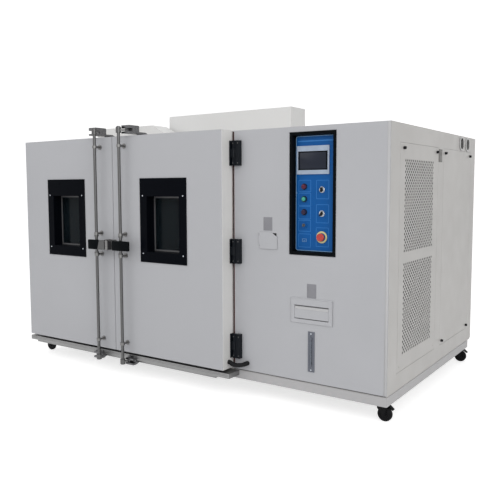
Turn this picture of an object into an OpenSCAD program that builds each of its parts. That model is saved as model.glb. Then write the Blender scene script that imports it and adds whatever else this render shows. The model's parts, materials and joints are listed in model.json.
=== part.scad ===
// Walk-in environmental test chamber with a machine compartment on its right.
// +X right, +Y to the back, +Z up. The origin is on the floor under the middle
// of the object. The modules work from the machine's front right corner, and
// placed() moves that corner to its place.

/* [Body] */
// Width of the insulated chamber
chamber_w = 2233; // [1900:1:2600]
// Width of the machine compartment
machine_w = 1214; // [1150:1:1500]
// Depth of the body from its front face to its back
body_d = 2000; // [1950:1:2400]
// Height of the body's top above the floor
body_top = 1977; // [1960:1:2150]
// Height of the base frame's underside above the floor
base_z = 124; // [118:1:140]
// Height of the base frame's rails
rail_h = 63; // [50:1:75]
// Width of the base frame's rails
rail_w = 60; // [50:1:80]
// Wall of the base frame's channels
rail_t = 6; // [4:1:10]
// Dark gap between the plinth and the machine's sheets
plinth_gap = 10; // [4:1:16]
// How far the base frame stops short of the body's back
base_short = 78; // [40:1:120]
// How far the base frame is set in from the chamber's left side
base_inset = 47; // [20:1:80]
// Thickness of an insulated panel
wall_t = 100; // [80:1:120]
// Thickness of the stainless steel lining
liner_t = 2; // [1:0.5:3]
// Thickness of the outer sheet metal
sheet_t = 2; // [1.5:0.5:3]

/* [Doors] */
// Thickness of a door leaf
door_t = 130; // [110:1:150]
// Thickness of the closed gasket
gasket_t = 8; // [6:1:12]
// Width of the gasket
gasket_w = 26; // [20:1:40]
// Height of the doors' lower edge above the floor
door_z = 205; // [203:1:215]
// How far the doors rise over the body's top
door_over = 2; // [0:1:5]
// Gap between the two doors
door_gap = 4; // [3:1:8]
// Gap between a door and the machine's front
hinge_gap = 3; // [2:1:5]
// How far a door's inner pan enters the chamber
pan_depth = 20; // [10:1:30]
// Clearance of the inner pan in the door opening
pan_gap = 8; // [6:1:14]
// Width of a window's black bezel
bezel_w = 475; // [420:1:520]
// Height of a window's black bezel
bezel_h = 667; // [600:1:720]
// Height of the bezel's lower edge above the floor
bezel_z = 970; // [900:1:1040]
// Thickness of the bezel
bezel_t = 6; // [4:1:10]
// Side margin of the bezel
bezel_side = 69; // [50:1:90]
// Top margin of the bezel
bezel_top = 140; // [100:1:160]
// Bottom margin of the bezel
bezel_low = 81; // [60:1:100]
// Depth from the bezel's face to the pane
pane_depth = 90; // [60:1:100]
// Thickness of the multi-layer pane
pane_t = 30; // [20:1:36]
// How far a window's middle is from its door's middle
window_shift = 13; // [0:1:20]

/* [Hinges] */
// Height of a hinge
hinge_h = 182; // [140:1:200]
// Heights of the hinges' middles above the floor
hinge_zs = [376, 1090, 1812];
// Radius of a hinge's knuckle
knuckle_r = 14; // [12:1:16]
// Radius of a hinge pin
hinge_pin_r = 7; // [5:1:8]
// Distance of the right door's hinge pin from the door's edge
right_pin_x = 27; // [25:1:32]
// Distance of the right door's hinge pin from the body's front
right_pin_y = 26; // [24:1:32]
// Width of the hinge's block on the machine's front
hinge_block_w = 35; // [30:1:45]
// Distance of the left door's hinge pin from the chamber's side
left_pin_x = 18; // [16:1:24]
// Distance of the left door's hinge pin from the body's front
left_pin_y = 4; // [2:1:8]

/* [Locks] */
// Distance of each lock rod from the doors' seam
rod_off = 139; // [110:1:160]
// Distance of a lock rod's axis from the door's face
rod_stand = 60; // [56:1:70]
// Radius of a lock rod
rod_r = 12.5; // [10:0.5:15]
// Height of a lock rod's lower end
rod_z0 = 115; // [113:1:120]
// Height of a lock rod's upper end
rod_z1 = 2054; // [2052:1:2070]
// Heights of the rod guides' middles
guide_zs = [287, 1009, 1184, 1898];
// Radius of a rod guide's flange
guide_flange_r = 20; // [18:1:26]
// Height of a lever above the floor, at its middle
lever_z = 1096; // [1070:1:1120]
// Height of a lever's bar
lever_h = 78; // [50:1:84]
// Thickness of a lever's bar
lever_t = 16; // [12:1:20]
// Reach of a lever towards the right, from its rod
left_lever_reach = 134; // [100:1:136]
// Reach of the right lever, from its rod
right_lever_reach = 125; // [90:1:150]
// Reach of both levers behind their rods
lever_back = 57; // [30:1:59]
// Reach of a top cam's tongue from its rod
top_cam_reach = 62; // [50:1:64]
// Reach of a bottom cam's tongue from its rod
low_cam_reach = 48; // [40:1:50]
// Width of a keeper
keeper_w = 84; // [60:1:110]
// Distance of a keeper from its rod's axis, to the outer side
keeper_in = 8; // [0:1:16]
// Depth of the top keepers' jaws
keeper_d = 117; // [80:1:150]

/* [Sill] */
// How far the sill under the doors reaches forward
sill_d = 135; // [110:1:136]
// Height of the sill's front edge
sill_h = 37; // [30:1:50]
// How far the sill reaches past the chamber to the right
sill_over = 49; // [20:1:60]
// How far the skirt under the sill reaches forward
skirt_d = 100; // [80:1:120]
// How far the skirt stops short at the right
skirt_short = 101; // [60:1:120]

/* [Machine side] */
// Depth of the side's fixed frame
side_t = 40; // [30:1:60]
// Depth-wise place of the front panel's front edge
vent_y0 = 170; // [140:1:200]
// Depth-wise place of the front panel's back edge
vent_y1 = 965; // [900:1:980]
// Depth-wise place of the rear panel's front edge
service_y0 = 1095; // [1060:1:1150]
// Distance of the rear panel's back edge from the body's back
service_end = 135; // [100:1:160]
// Height of the side panels' lower edge
side_z0 = 310; // [280:1:340]
// Height of the side panels' upper edge
side_z1 = 1853; // [1800:1:1856]
// Width of the lip that a side panel rests on
lip_w = 25; // [15:1:30]
// Radius of a vent hole
vent_r = 6; // [4:0.5:7]
// Distance between two vent holes in a row
vent_pitch = 38; // [34:1:44]
// Distance between two rows of vent holes
vent_row = 19; // [17:1:24]
// Distance of the vent fields from the panel's front edge
vent_in = 104; // [80:1:120]
// Width of the vent fields
vent_w = 580; // [500:1:620]
// Heights of the lower ends of the two vent fields
vent_zs = [430, 1129];
// Height of a vent field
vent_h = 622; // [560:1:640]
// Inner radius of a cable port
port_r = 45; // [35:1:48]
// Radius of a cable port's flange
port_flange_r = 56; // [54:1:60]
// Length of a cable port's sleeve
port_len = 70; // [50:1:90]
// Distances of the cable ports from the body's back
port_backs = [442, 269];
// Height of the cable ports
port_z = 1914; // [1912:1:1918]
// Radius of a panel knob
knob_r = 8; // [6:1:12]

/* [Control panel] */
// Middle of the control panel, from the machine's right side
control_x = -554; // [-600:1:-500]
// Height of the control frame's lower edge
control_z = 1091; // [1060:1:1100]
// Width of the control frame
control_w = 356; // [330:1:380]
// Height of the control frame
control_h = 849; // [820:1:860]
// Width of the control frame's border
control_border = 22; // [16:1:40]
// How far the control frame stands proud
control_proud = 4; // [2:1:12]
// Depth of the switch plate behind the body's front
plate_y = 42; // [20:1:60]
// Thickness of the switch plate
plate_t = 3; // [2:1:5]
// Depth of the control box
control_box_d = 150; // [100:1:200]
// Radius of a button's cap
button_r = 17; // [11:1:20]
// Radius of a switch's stem
stem_r = 8; // [6:1:9]
// Travel of a push button
button_travel = 4; // [2:0.5:6]
// Middle of the left column of switches, from the machine's right side
left_col = -638; // [-642:1:-634]
// Middle of the right column of switches, from the machine's right side
right_col = -501; // [-505:1:-497]
// Heights of the push buttons above the control frame's lower edge
button_ups = [474, 388, 297];
// Height of the key switch above the control frame's lower edge
key_up = 206; // [199:1:213]
// Heights of the two selectors above the control frame's lower edge
selector_ups = [453, 289];
// Height of the emergency stop above the control frame's lower edge
stop_up = 126; // [114:1:139]
// Middle of the touch screen, from the machine's right side
screen_x = -571; // [-577:1:-565]
// Distance of the touch screen's upper edge from the control frame's upper edge
screen_down = 95; // [85:1:105]
// Width of the touch screen's bezel
screen_w = 250; // [220:1:264]
// Height of the touch screen's bezel
screen_h = 195; // [160:1:205]
// Radius of the emergency stop's ring
stop_ring_r = 41; // [34:1:44]
// Radius of the emergency stop's head
stop_head_r = 28; // [22:1:32]

/* [Water and gauge] */
// Middle of the water tray, from the machine's right side
tray_x = -555; // [-600:1:-500]
// Height of the tray frame's lower edge
tray_z = 611; // [590:1:640]
// Width of the tray's frame
tray_w = 326; // [300:1:340]
// Height of the tray's frame
tray_h = 180; // [160:1:200]
// Width of the tray frame's border
tray_border = 27; // [20:1:32]
// Thickness of the tray frame's border
tray_frame_t = 4; // [2:1:8]
// Height of the tray's front
tray_front_h = 84; // [70:1:90]
// Radius of the tray's bucket about its hinge
bucket_r = 78; // [60:1:80]
// Middle of the level gauge, from the machine's right side
gauge_x = -554; // [-600:1:-500]
// Height of the level gauge's lower edge
gauge_z = 273; // [260:1:290]
// Height of the level gauge's plate
gauge_h = 285; // [250:1:290]
// Width of the level gauge's plate
gauge_w = 50; // [40:1:60]
// Middle of the socket hatch, from the machine's right side
hatch_x = -905.5; // [-940:0.5:-880]
// Height of the hatch's lower edge
hatch_z = 1119; // [1080:1:1150]
// Width of the hatch
hatch_w = 149; // [130:1:160]
// Height of the hatch
hatch_h = 124; // [110:1:140]
// Width of the hatch's cut corner
hatch_cut_w = 54; // [40:1:60]
// Height of the hatch's cut corner
hatch_cut_h = 34; // [24:1:44]
// Depth of the socket's pocket behind the hatch
hatch_pocket = 70; // [50:1:100]
// Radius of the socket in the pocket
socket_r = 30; // [20:1:36]

/* [Roof] */
// Width of the fan housing on the roof
housing_w = 1349; // [1200:1:1400]
// Depth of the fan housing
housing_d = 240; // [220:1:300]
// Depth-wise place of the fan housing's front
housing_y = 860; // [700:1:1000]
// Height of the fan housing
housing_h = 263; // [200:1:300]
// Depth-wise place of the duct cover's front
cover_y = 600; // [500:1:620]
// Depth of the duct cover
cover_d = 200; // [160:1:240]
// Height of the duct cover
cover_h = 163; // [120:1:180]
// Distance of the duct cover from the chamber's left side
cover_in = 167; // [120:1:220]
// Width of the duct cover's flat top
cover_w = 729; // [600:1:780]
// Width of the duct cover's slope
cover_slope = 305; // [240:1:360]

/* [Casters] */
// Radius of a caster wheel
wheel_r = 50; // [45:1:50]
// Width of a caster wheel
wheel_w = 32; // [26:1:34]
// Distance from the swivel's axis to the wheel's axis
trail = 35; // [30:1:40]
// Distance of the right casters' swivels from the right side
caster_right = 80; // [76:1:100]
// Distance of the left casters' swivels from the chamber's side
caster_left = 46; // [44:1:70]
// Distance of the front casters' swivels from the front
caster_front = 90; // [80:1:110]
// Distance of the rear casters' swivels from the body's back
caster_rear = 130; // [100:1:140]

/* [Fans and coils] */
// Height of the air baffle's ceiling sheet
baffle_z = 1690; // [1650:1:1720]
// Width of the air duct at the chamber's right wall
duct_w = 246; // [200:1:280]
// Radius of a circulation fan
fan_r = 150; // [120:1:160]
// Height of a circulation fan
fan_h = 80; // [60:1:90]
// Number of blades of a circulation fan
fan_blades = 18; // [12:1:24]
// Radius of a fan's shaft
shaft_r = 12; // [10:1:14]
// Places of the circulation fans, from the machine's right side
fan_xs = [-2250, -1780];
// Radius of the condenser's fan
cond_fan_r = 225; // [180:1:240]
// Height of the condenser fan's axis
cond_zc = 800; // [700:1:900]
// Height of the condenser's upper edge
cond_top = 1500; // [1300:1:1600]
// Thickness of the condenser's finned block
cond_t = 70; // [60:1:90]
// Depth of the condenser fan's ring
cond_ring = 70; // [60:1:90]
// Radius of a compressor
comp_r = 120; // [100:1:140]
// Distance of the compressors' axes from the seam with the chamber
comp_x = 420; // [300:1:500]
// Distances of the compressors' axes from the body's back
comp_backs = [750, 380];
// Height of the evaporator coil's lower edge
coil_z = 900; // [800:1:1000]
// Distance between two rows of the evaporator's tubes
coil_pitch = 80; // [60:1:90]
// Radius of the conduit between the right door and the machine
conduit_r = 17; // [12:1:19]

/* [Clearances] */
// Gap between flat faces of separate pieces
seat = 0.3; // [0.2:0.05:0.5]
// Radial clearance of a pin or shaft in its bore
run = 0.06; // [0.03:0.01:0.1]

/* [Hidden] */
$fn = 64;

seam_x = -machine_w;
left_x = seam_x - chamber_w;
mid_x = (left_x + seam_x) / 2;
deck_z = base_z + rail_h;
skin_z = deck_z + plinth_gap;
door_y1 = -gasket_t;
door_y0 = -gasket_t - door_t;
door_z1 = body_top + door_over;
door_edges = [[left_x, mid_x - door_gap / 2], [mid_x + door_gap / 2, seam_x - hinge_gap]];
rod_y = door_y0 - rod_stand;
rod_xs = [mid_x - rod_off, mid_x + rod_off];
lever_y = rod_y - rod_r - 23;
right_pin = [seam_x - hinge_gap + right_pin_x, -right_pin_y];
left_pin = [left_x - left_pin_x, -left_pin_y];
port_out = 8;
port_ys = [for (d = port_backs) body_d - d];
knob_out = 18;
pedal_reach = 96;
x_min = min(left_pin[0] - knuckle_r, left_x + caster_left - pedal_reach);
x_max = max(port_out, knob_out, pedal_reach - caster_right);
y_min = lever_y - lever_t / 2;
y_max = body_d;
cx = (x_min + x_max) / 2;
cy = (y_min + y_max) / 2;
room_x0 = left_x + wall_t;
room_x1 = seam_x - wall_t;
room_z0 = deck_z + seat + wall_t;
room_z1 = body_top - wall_t;
service_y1 = body_d - service_end;
button_zs = [for (u = button_ups) control_z + u];
selector_zs = [for (u = selector_ups) control_z + u];
key_z = control_z + key_up;
stop_z = control_z + stop_up;
screen_z = control_z + control_h - screen_down - screen_h;
tray_open_w = tray_w - 2 * tray_border;
tray_open_h = tray_h - 2 * tray_border;
tray_pin_z = tray_z + tray_border + 12;
tray_pin_y = 10;
tray_ear_t = 3;
hatch_pin_x = hatch_x - hatch_w / 2 - 4.6;
hatch_pin_y = -4.5;
fan_y = housing_y + housing_d / 2;
fan_z = baffle_z + 50;
duct_x = room_x1 - duct_w;
win_w = bezel_w - 2 * bezel_side;
win_h = bezel_h - bezel_top - bezel_low;
win_z = bezel_z + bezel_low;
gasket_m = 2;
knuckle_h = hinge_h / 3;
leaf_t = 8;
tongue_t = 14;
top_tongue_z = body_top + 39;
low_tongue_z = 133;
plate_s = 90;
plate_h = 6;
race_r = 28;
race_z = base_z - plate_h - 12;
kingpin_r = 8;
axle_r = 6;
pedal_x = 39;
pedal_z = base_z - 14;
cond_y0 = vent_y0 + 60;
cond_y1 = vent_y1 - 60;
cond_yc = (cond_y0 + cond_y1) / 2;
cond_x1 = -side_t - 70;
cond_z0 = skin_z - seat;
knob_places = [
  [vent_y0 + 61, side_z1 - 35], [vent_y1 - 39, side_z1 - 35],
  [service_y0 + 37, side_z1 - 35], [service_y1 - 42, side_z1 - 35],
  [service_y0 + 37, side_z0 + 34], [service_y1 - 39, side_z0 + 34]
];
swivels = [
  [-caster_right, caster_front, 0], [-caster_right, body_d - caster_rear, 0],
  [left_x + caster_left, caster_front, 180],
  [left_x + caster_left, body_d - caster_rear, 180]
];

// Moves a piece from the machine's corner to the object's frame.
module placed() {
  translate([-cx, -cy, 0]) children();
}

// A box between two corners.
module block(a, b) {
  translate(a) cube(b - a);
}

// An outline in depth (x of the outline) and height (y of it), drawn out along X.
module along_x(x0, x1) {
  translate([x0, 0, 0]) rotate([90, 0, 90]) linear_extrude(x1 - x0) children();
}

// An outline in width and height, drawn out from the depth y0 back to y1.
module along_y(y0, y1) {
  translate([0, y1, 0]) rotate([90, 0, 0]) linear_extrude(y1 - y0) children();
}

// A rectangle between two corners.
module pane_2d(a, b) {
  translate(a) square(b - a);
}

module bar_x(x0, x1, y, z, r) {
  translate([x0, y, z]) rotate([0, 90, 0]) cylinder(r = r, h = x1 - x0);
}

module bar_y(x, y0, y1, z, r) {
  translate([x, y0, z]) rotate([-90, 0, 0]) cylinder(r = r, h = y1 - y0);
}

module bar_z(x, y, z0, z1, r) {
  translate([x, y, z0]) cylinder(r = r, h = z1 - z0);
}

// Points of an arc.
function arc(c, r, a0, a1, n) =
  [for (i = [0 : n]) c + r * [cos(a0 + (a1 - a0) * i / n), sin(a0 + (a1 - a0) * i / n)]];

// Base frame

module channel_2d(w) {
  difference() {
    square([w, rail_h]);
    translate([rail_t, rail_t]) square([w, rail_h - 2 * rail_t]);
  }
}

module rail_along_x(x0, x1, y, flip) {
  translate([0, y + (flip ? rail_w : 0), base_z]) mirror([0, flip ? 1 : 0, 0])
    along_x(x0, x1) channel_2d(rail_w);
}

module rail_along_y(x, y0, y1, flip) {
  translate([x + (flip ? rail_w : 0), 0, base_z]) mirror([flip ? 1 : 0, 0, 0])
    along_y(y0, y1) channel_2d(rail_w);
}

module base_frame() {
  x0 = left_x + base_inset;
  y1 = body_d - base_short;
  color("lightgray") placed() {
    rail_along_x(x0, 0, 0, false);
    rail_along_x(x0, 0, y1 - rail_w, true);
    for (x = [x0, mid_x - rail_w / 2, seam_x])
      rail_along_y(x, rail_w + seat, y1 - rail_w - seat, false);
    rail_along_y(-rail_w, rail_w + seat, y1 - rail_w - seat, true);
    for (x = [x0, -rail_t]) for (y = [0, y1 - rail_w])
      block([x, y, base_z], [x + rail_t, y + rail_w, base_z + rail_h]);
    for (s = swivels) difference() {
      union() {
        block([s[0] - plate_s / 2, s[1] - plate_s / 2, base_z - plate_h],
          [s[0] + plate_s / 2, s[1] + plate_s / 2, base_z]);
        bar_z(s[0], s[1], race_z, base_z - plate_h, race_r);
      }
      bar_z(s[0], s[1], race_z - 1, base_z - 2, kingpin_r + run);
    }
  }
}

module door_sill() {
  color("silver") placed() {
    difference() {
      block([left_x, -sill_d, deck_z - sill_h], [seam_x + sill_over, 0, deck_z]);
      block([left_x + 3, -sill_d + 3, deck_z - sill_h - 1],
        [seam_x + sill_over - 3, -3, deck_z - 3]);
    }
    block([left_x + base_inset, -skirt_d, base_z],
      [seam_x - skirt_short, 0, deck_z - sill_h - seat]);
  }
}

// Chamber

module chamber_panels() {
  z0 = deck_z + seat;
  g = seat;
  color("gainsboro") placed() {
    block([left_x, 0, z0], [seam_x, body_d, room_z0]);
    block([left_x, 0, room_z0 + g], [room_x0, body_d, room_z1 - g]);
    block([room_x1, 0, room_z0 + g], [seam_x, body_d, room_z1 - g]);
    block([room_x0 + g, body_d - wall_t, room_z0 + g], [room_x1 - g, body_d, room_z1 - g]);
    difference() {
      block([left_x, 0, room_z1], [seam_x, body_d, body_top]);
      for (x = fan_xs) bar_z(x, fan_y, room_z1 - 1, body_top + 1, shaft_r + 4);
    }
  }
}

// Lining of the room, with a loose floor plate between the doors and the duct.
module chamber_liner() {
  a = [room_x0 + seat, 1, room_z0 + seat];
  b = [room_x1 - seat, body_d - wall_t - seat, room_z1 - seat];
  t = liner_t;
  plate_t = 4;
  edge = 5;
  plate_z = a[2] + t + seat;
  color("silver") placed() {
    difference() {
      block(a, b);
      block([a[0] + t, -1, a[2] + t], [b[0] - t, b[1] - t, b[2] - t]);
      for (x = fan_xs) bar_z(x, fan_y, room_z1 - 5, room_z1 + 1, shaft_r + 4);
    }
    block([a[0] + t + edge, pan_depth + edge, plate_z],
      [duct_x - edge, b[1] - t - edge, plate_z + plate_t]);
  }
}

// Ceiling sheet with the fans' inlets and the outlet slots, and the duct's wall
// with its return slots.
module air_baffle() {
  t = liner_t;
  clear = t + 2 * seat;
  x0 = room_x0 + clear;
  x1 = room_x1 - clear;
  y0 = 60;
  y1 = body_d - wall_t - clear;
  z1 = room_z1 - clear;
  color("silver") placed() {
    difference() {
      union() {
        block([x0, y0, baffle_z], [x1, y1, baffle_z + t]);
        block([duct_x, y0, room_z0 + clear], [duct_x + t, y1, baffle_z]);
        block([duct_x, y0, baffle_z + t], [duct_x + t, y0 + 40, z1]);
        block([duct_x, y1 - 40, baffle_z + t], [duct_x + t, y1, z1]);
        for (x = [x0 + 40, x0 + 900]) for (y = [y0, y1 - 40])
          block([x, y, baffle_z + t], [x + 40, y + 40, z1]);
      }
      for (x = fan_xs) bar_z(x, fan_y, baffle_z - 1, baffle_z + t + 1, fan_r * 0.72);
      for (i = [0 : 11])
        block([x0 + 60 + 22 * i, y0 + 90, baffle_z - 1],
          [x0 + 70 + 22 * i, y1 - 90, baffle_z + t + 1]);
      for (i = [0 : 9])
        block([duct_x - 1, y0 + 120, room_z0 + 60 + 26 * i],
          [duct_x + t + 1, y1 - 120, room_z0 + 72 + 26 * i]);
    }
    translate([x0 + 520, y0 + 60, baffle_z - seat - 22]) cylinder(r = 60, h = 22);
  }
}

// Finned coil on its tubes, with the bare heater tubes over it.
module evaporator_coil() {
  x0 = duct_x + 40;
  x1 = room_x1 - 40;
  y0 = 240;
  y1 = body_d - wall_t - 200;
  z0 = coil_z;
  rows = 4;
  pitch = coil_pitch;
  color("goldenrod") placed() {
    for (y = [y0, y1])
      block([duct_x + liner_t + seat, y - 2, z0 - 30],
        [room_x1 - liner_t - 2 * seat, y + 2, z0 + rows * pitch]);
    for (i = [1 : 20])
      block([x0, y0 + (y1 - y0) * i / 21 - 1, z0], [x1, y0 + (y1 - y0) * i / 21 + 1, z0 + rows * pitch]);
    for (k = [0 : rows - 1]) for (x = [x0 + 40, x1 - 40])
      bar_y(x, y0 - 20, y1 + 20, z0 + pitch * (k + 0.5), 8);
    for (x = [x0 + 20, (x0 + x1) / 2, x1 - 20]) {
      bar_y(x, y0, y1, z0 + rows * pitch + 70, 6);
      for (y = [y0 + 5, y1 - 5])
        block([x - 3, y - 3, z0 + rows * pitch - 2], [x + 3, y + 3, z0 + rows * pitch + 70]);
    }
  }
}

// Backward-curved wheel on its shaft.
module circulation_fan(x) {
  r0 = fan_r * 0.62;
  color("silver") placed() translate([x, fan_y, 0]) {
    bar_z(0, 0, fan_z + fan_h - 4, fan_z + fan_h, fan_r);
    bar_z(0, 0, fan_z + fan_h - 40, fan_z + fan_h, 3 * shaft_r);
    bar_z(0, 0, fan_z + fan_h - 1, body_top + 60, shaft_r);
    difference() {
      bar_z(0, 0, fan_z, fan_z + 3, fan_r);
      bar_z(0, 0, fan_z - 1, fan_z + 4, r0);
    }
    for (i = [0 : fan_blades - 1]) rotate([0, 0, 360 * i / fan_blades])
      translate([0, 0, fan_z + 1]) linear_extrude(fan_h - 3)
        polygon(concat(
          [for (k = [0 : 6]) (r0 + (fan_r - r0 - 2) * k / 6) * [cos(-5 * k), sin(-5 * k)]],
          [for (k = [6 : -1 : 0]) (r0 + (fan_r - r0 - 2) * k / 6) * [cos(1.2 - 5 * k), sin(1.2 - 5 * k)]]));
  }
}

// Housing over the fan motors, the motors and the duct cover.
module roof_covers() {
  t = sheet_t;
  x1 = seam_x;
  x0 = x1 - housing_w;
  motor_r = 85;
  color("whitesmoke") placed() {
    difference() {
      block([x0, housing_y, body_top], [x1, housing_y + housing_d, body_top + housing_h]);
      block([x0 + t, housing_y + t, body_top - 1],
        [x1 - t, housing_y + housing_d - t, body_top + housing_h - t]);
    }
    for (x = fan_xs) difference() {
      union() {
        bar_z(x, fan_y, body_top, body_top + 12, motor_r + 15);
        bar_z(x, fan_y, body_top, body_top + 190, motor_r);
      }
      bar_z(x, fan_y, body_top - 1, body_top + 64, shaft_r + run);
    }
    difference() {
      along_y(cover_y, cover_y + cover_d) cover_2d(0);
      along_y(cover_y + t, cover_y + cover_d - t) cover_2d(t);
    }
  }
}

module cover_2d(t) {
  x0 = left_x + cover_in;
  x1 = x0 + cover_w;
  x2 = x1 + cover_slope - 2.2 * t;
  polygon([[x0 + t, body_top - t], [x0 + t, body_top + cover_h - t],
    [x1 - t * 0.3, body_top + cover_h - t], [x2, body_top - t / 2], [x2, body_top - t]]);
}

// Doors

// Sheet-metal leaf outline with its long front edges bevelled.
module leaf_2d(x0, x1) {
  c = 4;
  polygon([[x0, door_y1], [x0, door_y0 + c], [x0 + c, door_y0],
    [x1 - c, door_y0], [x1, door_y0 + c], [x1, door_y1]]);
}

function window_x(i) =
  (door_edges[i][0] + door_edges[i][1]) / 2 - window_shift;

module door_leaf(i) {
  e = door_edges[i];
  wx = window_x(i);
  seam_in = gasket_m + gasket_w + 2;
  px0 = i == 0 ? room_x0 + pan_gap : e[0] + seam_in;
  px1 = i == 0 ? e[1] - seam_in : room_x1 - pan_gap;
  color("gainsboro") placed() difference() {
    union() {
      translate([0, 0, door_z]) linear_extrude(door_z1 - door_z) leaf_2d(e[0], e[1]);
      block([px0, door_y1 - 1, room_z0 + pan_gap], [px1, pan_depth, room_z1 - pan_gap]);
    }
    block([wx - win_w / 2, door_y0 - 1, win_z], [wx + win_w / 2, pan_depth + 1, win_z + win_h]);
  }
}

module window_bezel(i) {
  wx = window_x(i);
  lip = 3;
  color("black") placed() {
    difference() {
      union() {
        block([wx - bezel_w / 2, door_y0 - bezel_t, bezel_z],
          [wx + bezel_w / 2, door_y0, bezel_z + bezel_h]);
        block([wx - win_w / 2 + seat, door_y0 - 1, win_z + seat],
          [wx + win_w / 2 - seat, door_y0 - bezel_t + pane_depth - seat, win_z + win_h - seat]);
      }
      block([wx - win_w / 2 + lip, door_y0 - bezel_t - 1, win_z + lip],
        [wx + win_w / 2 - lip, door_y1, win_z + win_h - lip]);
    }
    for (s = [-1, 1]) for (z = [win_z - 11, win_z + win_h + 2])
      bar_y(wx + s * (win_w / 2 + bezel_side * 0.55), door_y0 - bezel_t - 2, door_y0 - bezel_t, z, 5);
  }
}

module window_pane(i) {
  wx = window_x(i);
  y0 = door_y0 - bezel_t + pane_depth;
  color("slategray") placed()
    block([wx - win_w / 2 + seat, y0, win_z + seat],
      [wx + win_w / 2 - seat, y0 + pane_t, win_z + win_h - seat]);
}

module door_gasket(i) {
  e = door_edges[i];
  m = gasket_m;
  color("firebrick") placed() along_y(door_y1, -seat) difference() {
    pane_2d([e[0] + m, door_z + m], [e[1] - m, door_z1 - 2 * m]);
    pane_2d([e[0] + m + gasket_w, door_z + m + gasket_w],
      [e[1] - m - gasket_w, door_z1 - 2 * m - gasket_w]);
  }
}

// The leaves and the middle knuckles on a door, and the door's rod guides.
module door_fittings(i) {
  pin = i == 0 ? left_pin : right_pin;
  edge = i == 0 ? left_x : seam_x - hinge_gap;
  color("dimgray") placed() {
    for (z = hinge_zs) difference() {
      union() {
        bar_z(pin[0], pin[1], z - knuckle_h / 2 + seat, z + knuckle_h / 2 - seat, knuckle_r);
        if (i == 0) {
          block([edge - leaf_t, -70, z - hinge_h / 2],
            [edge, -left_pin_y - knuckle_r - 2, z + hinge_h / 2]);
          block([pin[0] - 4, -30, z - knuckle_h / 2 + seat],
            [edge - 1, pin[1], z + knuckle_h / 2 - seat]);
        } else {
          block([edge, pin[1] - 20, z - hinge_h / 2], [edge + leaf_t, pin[1] + 17, z + hinge_h / 2]);
          block([edge + 1, pin[1] - knuckle_r, z - knuckle_h / 2 + seat],
            [pin[0], pin[1] + knuckle_r, z + knuckle_h / 2 - seat]);
        }
      }
      bar_z(pin[0], pin[1], z - hinge_h / 2, z + hinge_h / 2, hinge_pin_r + run);
    }
    for (z = guide_zs) translate([rod_xs[i], 0, z]) rod_guide();
    if (i == 0) lever_catch();
    else lever_stop();
  }
}

// Bracket at the left door's edge that the left lever's end lies on.
module lever_catch() {
  x = door_edges[0][1] - 46;
  y0 = lever_y + lever_t / 2 + seat;
  block([x, y0, lever_z - lever_h / 2], [x + 26, y0 + 4, lever_z + lever_h / 2]);
  block([x, y0, lever_z - lever_h / 2], [x + 4, door_y0, lever_z + lever_h / 2]);
  block([x, door_y0 - 4, lever_z - lever_h / 2], [x + 34, door_y0, lever_z + lever_h / 2]);
}

// Bracket at the right door's edge that stands beside the left lever's end.
module lever_stop() {
  x0 = door_edges[1][0] + 2;
  x1 = x0 + 28;
  z0 = lever_z - lever_h / 2;
  z1 = lever_z + lever_h / 2;
  block([x0, lever_y - lever_t / 2, z0], [x1, lever_y - lever_t / 2 + 4, z1]);
  block([x1 - 4, lever_y - lever_t / 2, z0], [x1, door_y0, z1]);
  block([x0, door_y0 - 4, z0], [x1, door_y0, z1]);
}

// Guide eye on its pillar behind the rod.
module rod_guide() {
  eye_r = rod_r + 6;
  eye_h = 22;
  difference() {
    union() {
      bar_y(0, door_y0 - 6, door_y0, 0, guide_flange_r);
      bar_y(0, rod_y + rod_r, door_y0, 0, 9);
      bar_z(0, rod_y, -eye_h / 2, eye_h / 2, eye_r);
    }
    bar_z(0, rod_y, -eye_h, eye_h, rod_r + run);
  }
}

// The outer knuckles and pins, with their blocks on the body.
module hinge_blocks() {
  color("black") placed() for (z = hinge_zs) {
    x = right_pin[0];
    bx = x + 18;
    block([bx, -36, z - hinge_h / 2], [bx + hinge_block_w, 0, z + hinge_h / 2]);
    bar_z(x, right_pin[1], z - hinge_h / 2, z + hinge_h / 2, hinge_pin_r);
    for (s = [-1, 1]) {
      zc = z + s * knuckle_h;
      block([x, right_pin[1] - knuckle_r, zc - knuckle_h / 2],
        [bx + 1, right_pin[1] + knuckle_r, zc + knuckle_h / 2]);
      bar_z(x, right_pin[1], zc - knuckle_h / 2, zc + knuckle_h / 2, knuckle_r);
    }
    lx = left_pin[0];
    bar_z(lx, left_pin[1], z - hinge_h / 2, z + hinge_h / 2, hinge_pin_r);
    block([left_x - leaf_t, 14, z - hinge_h / 2], [left_x, 70, z + hinge_h / 2]);
    for (s = [-1, 1]) {
      zc = z + s * knuckle_h;
      bar_z(lx, left_pin[1], zc - knuckle_h / 2, zc + knuckle_h / 2, knuckle_r);
      block([lx - 4, left_pin[1], zc - knuckle_h / 2], [left_x - seat, 30, zc + knuckle_h / 2]);
    }
  }
}

// Locks

// Tongue of a cam, pointing back and outwards.
module tongue(x, z, reach, angle) {
  translate([x, rod_y, z]) rotate([0, 0, angle]) linear_extrude(tongue_t) union() {
    translate([0, -14]) square([reach - 14, 28]);
    translate([reach - 14, 0]) circle(r = 14);
  }
}

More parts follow.
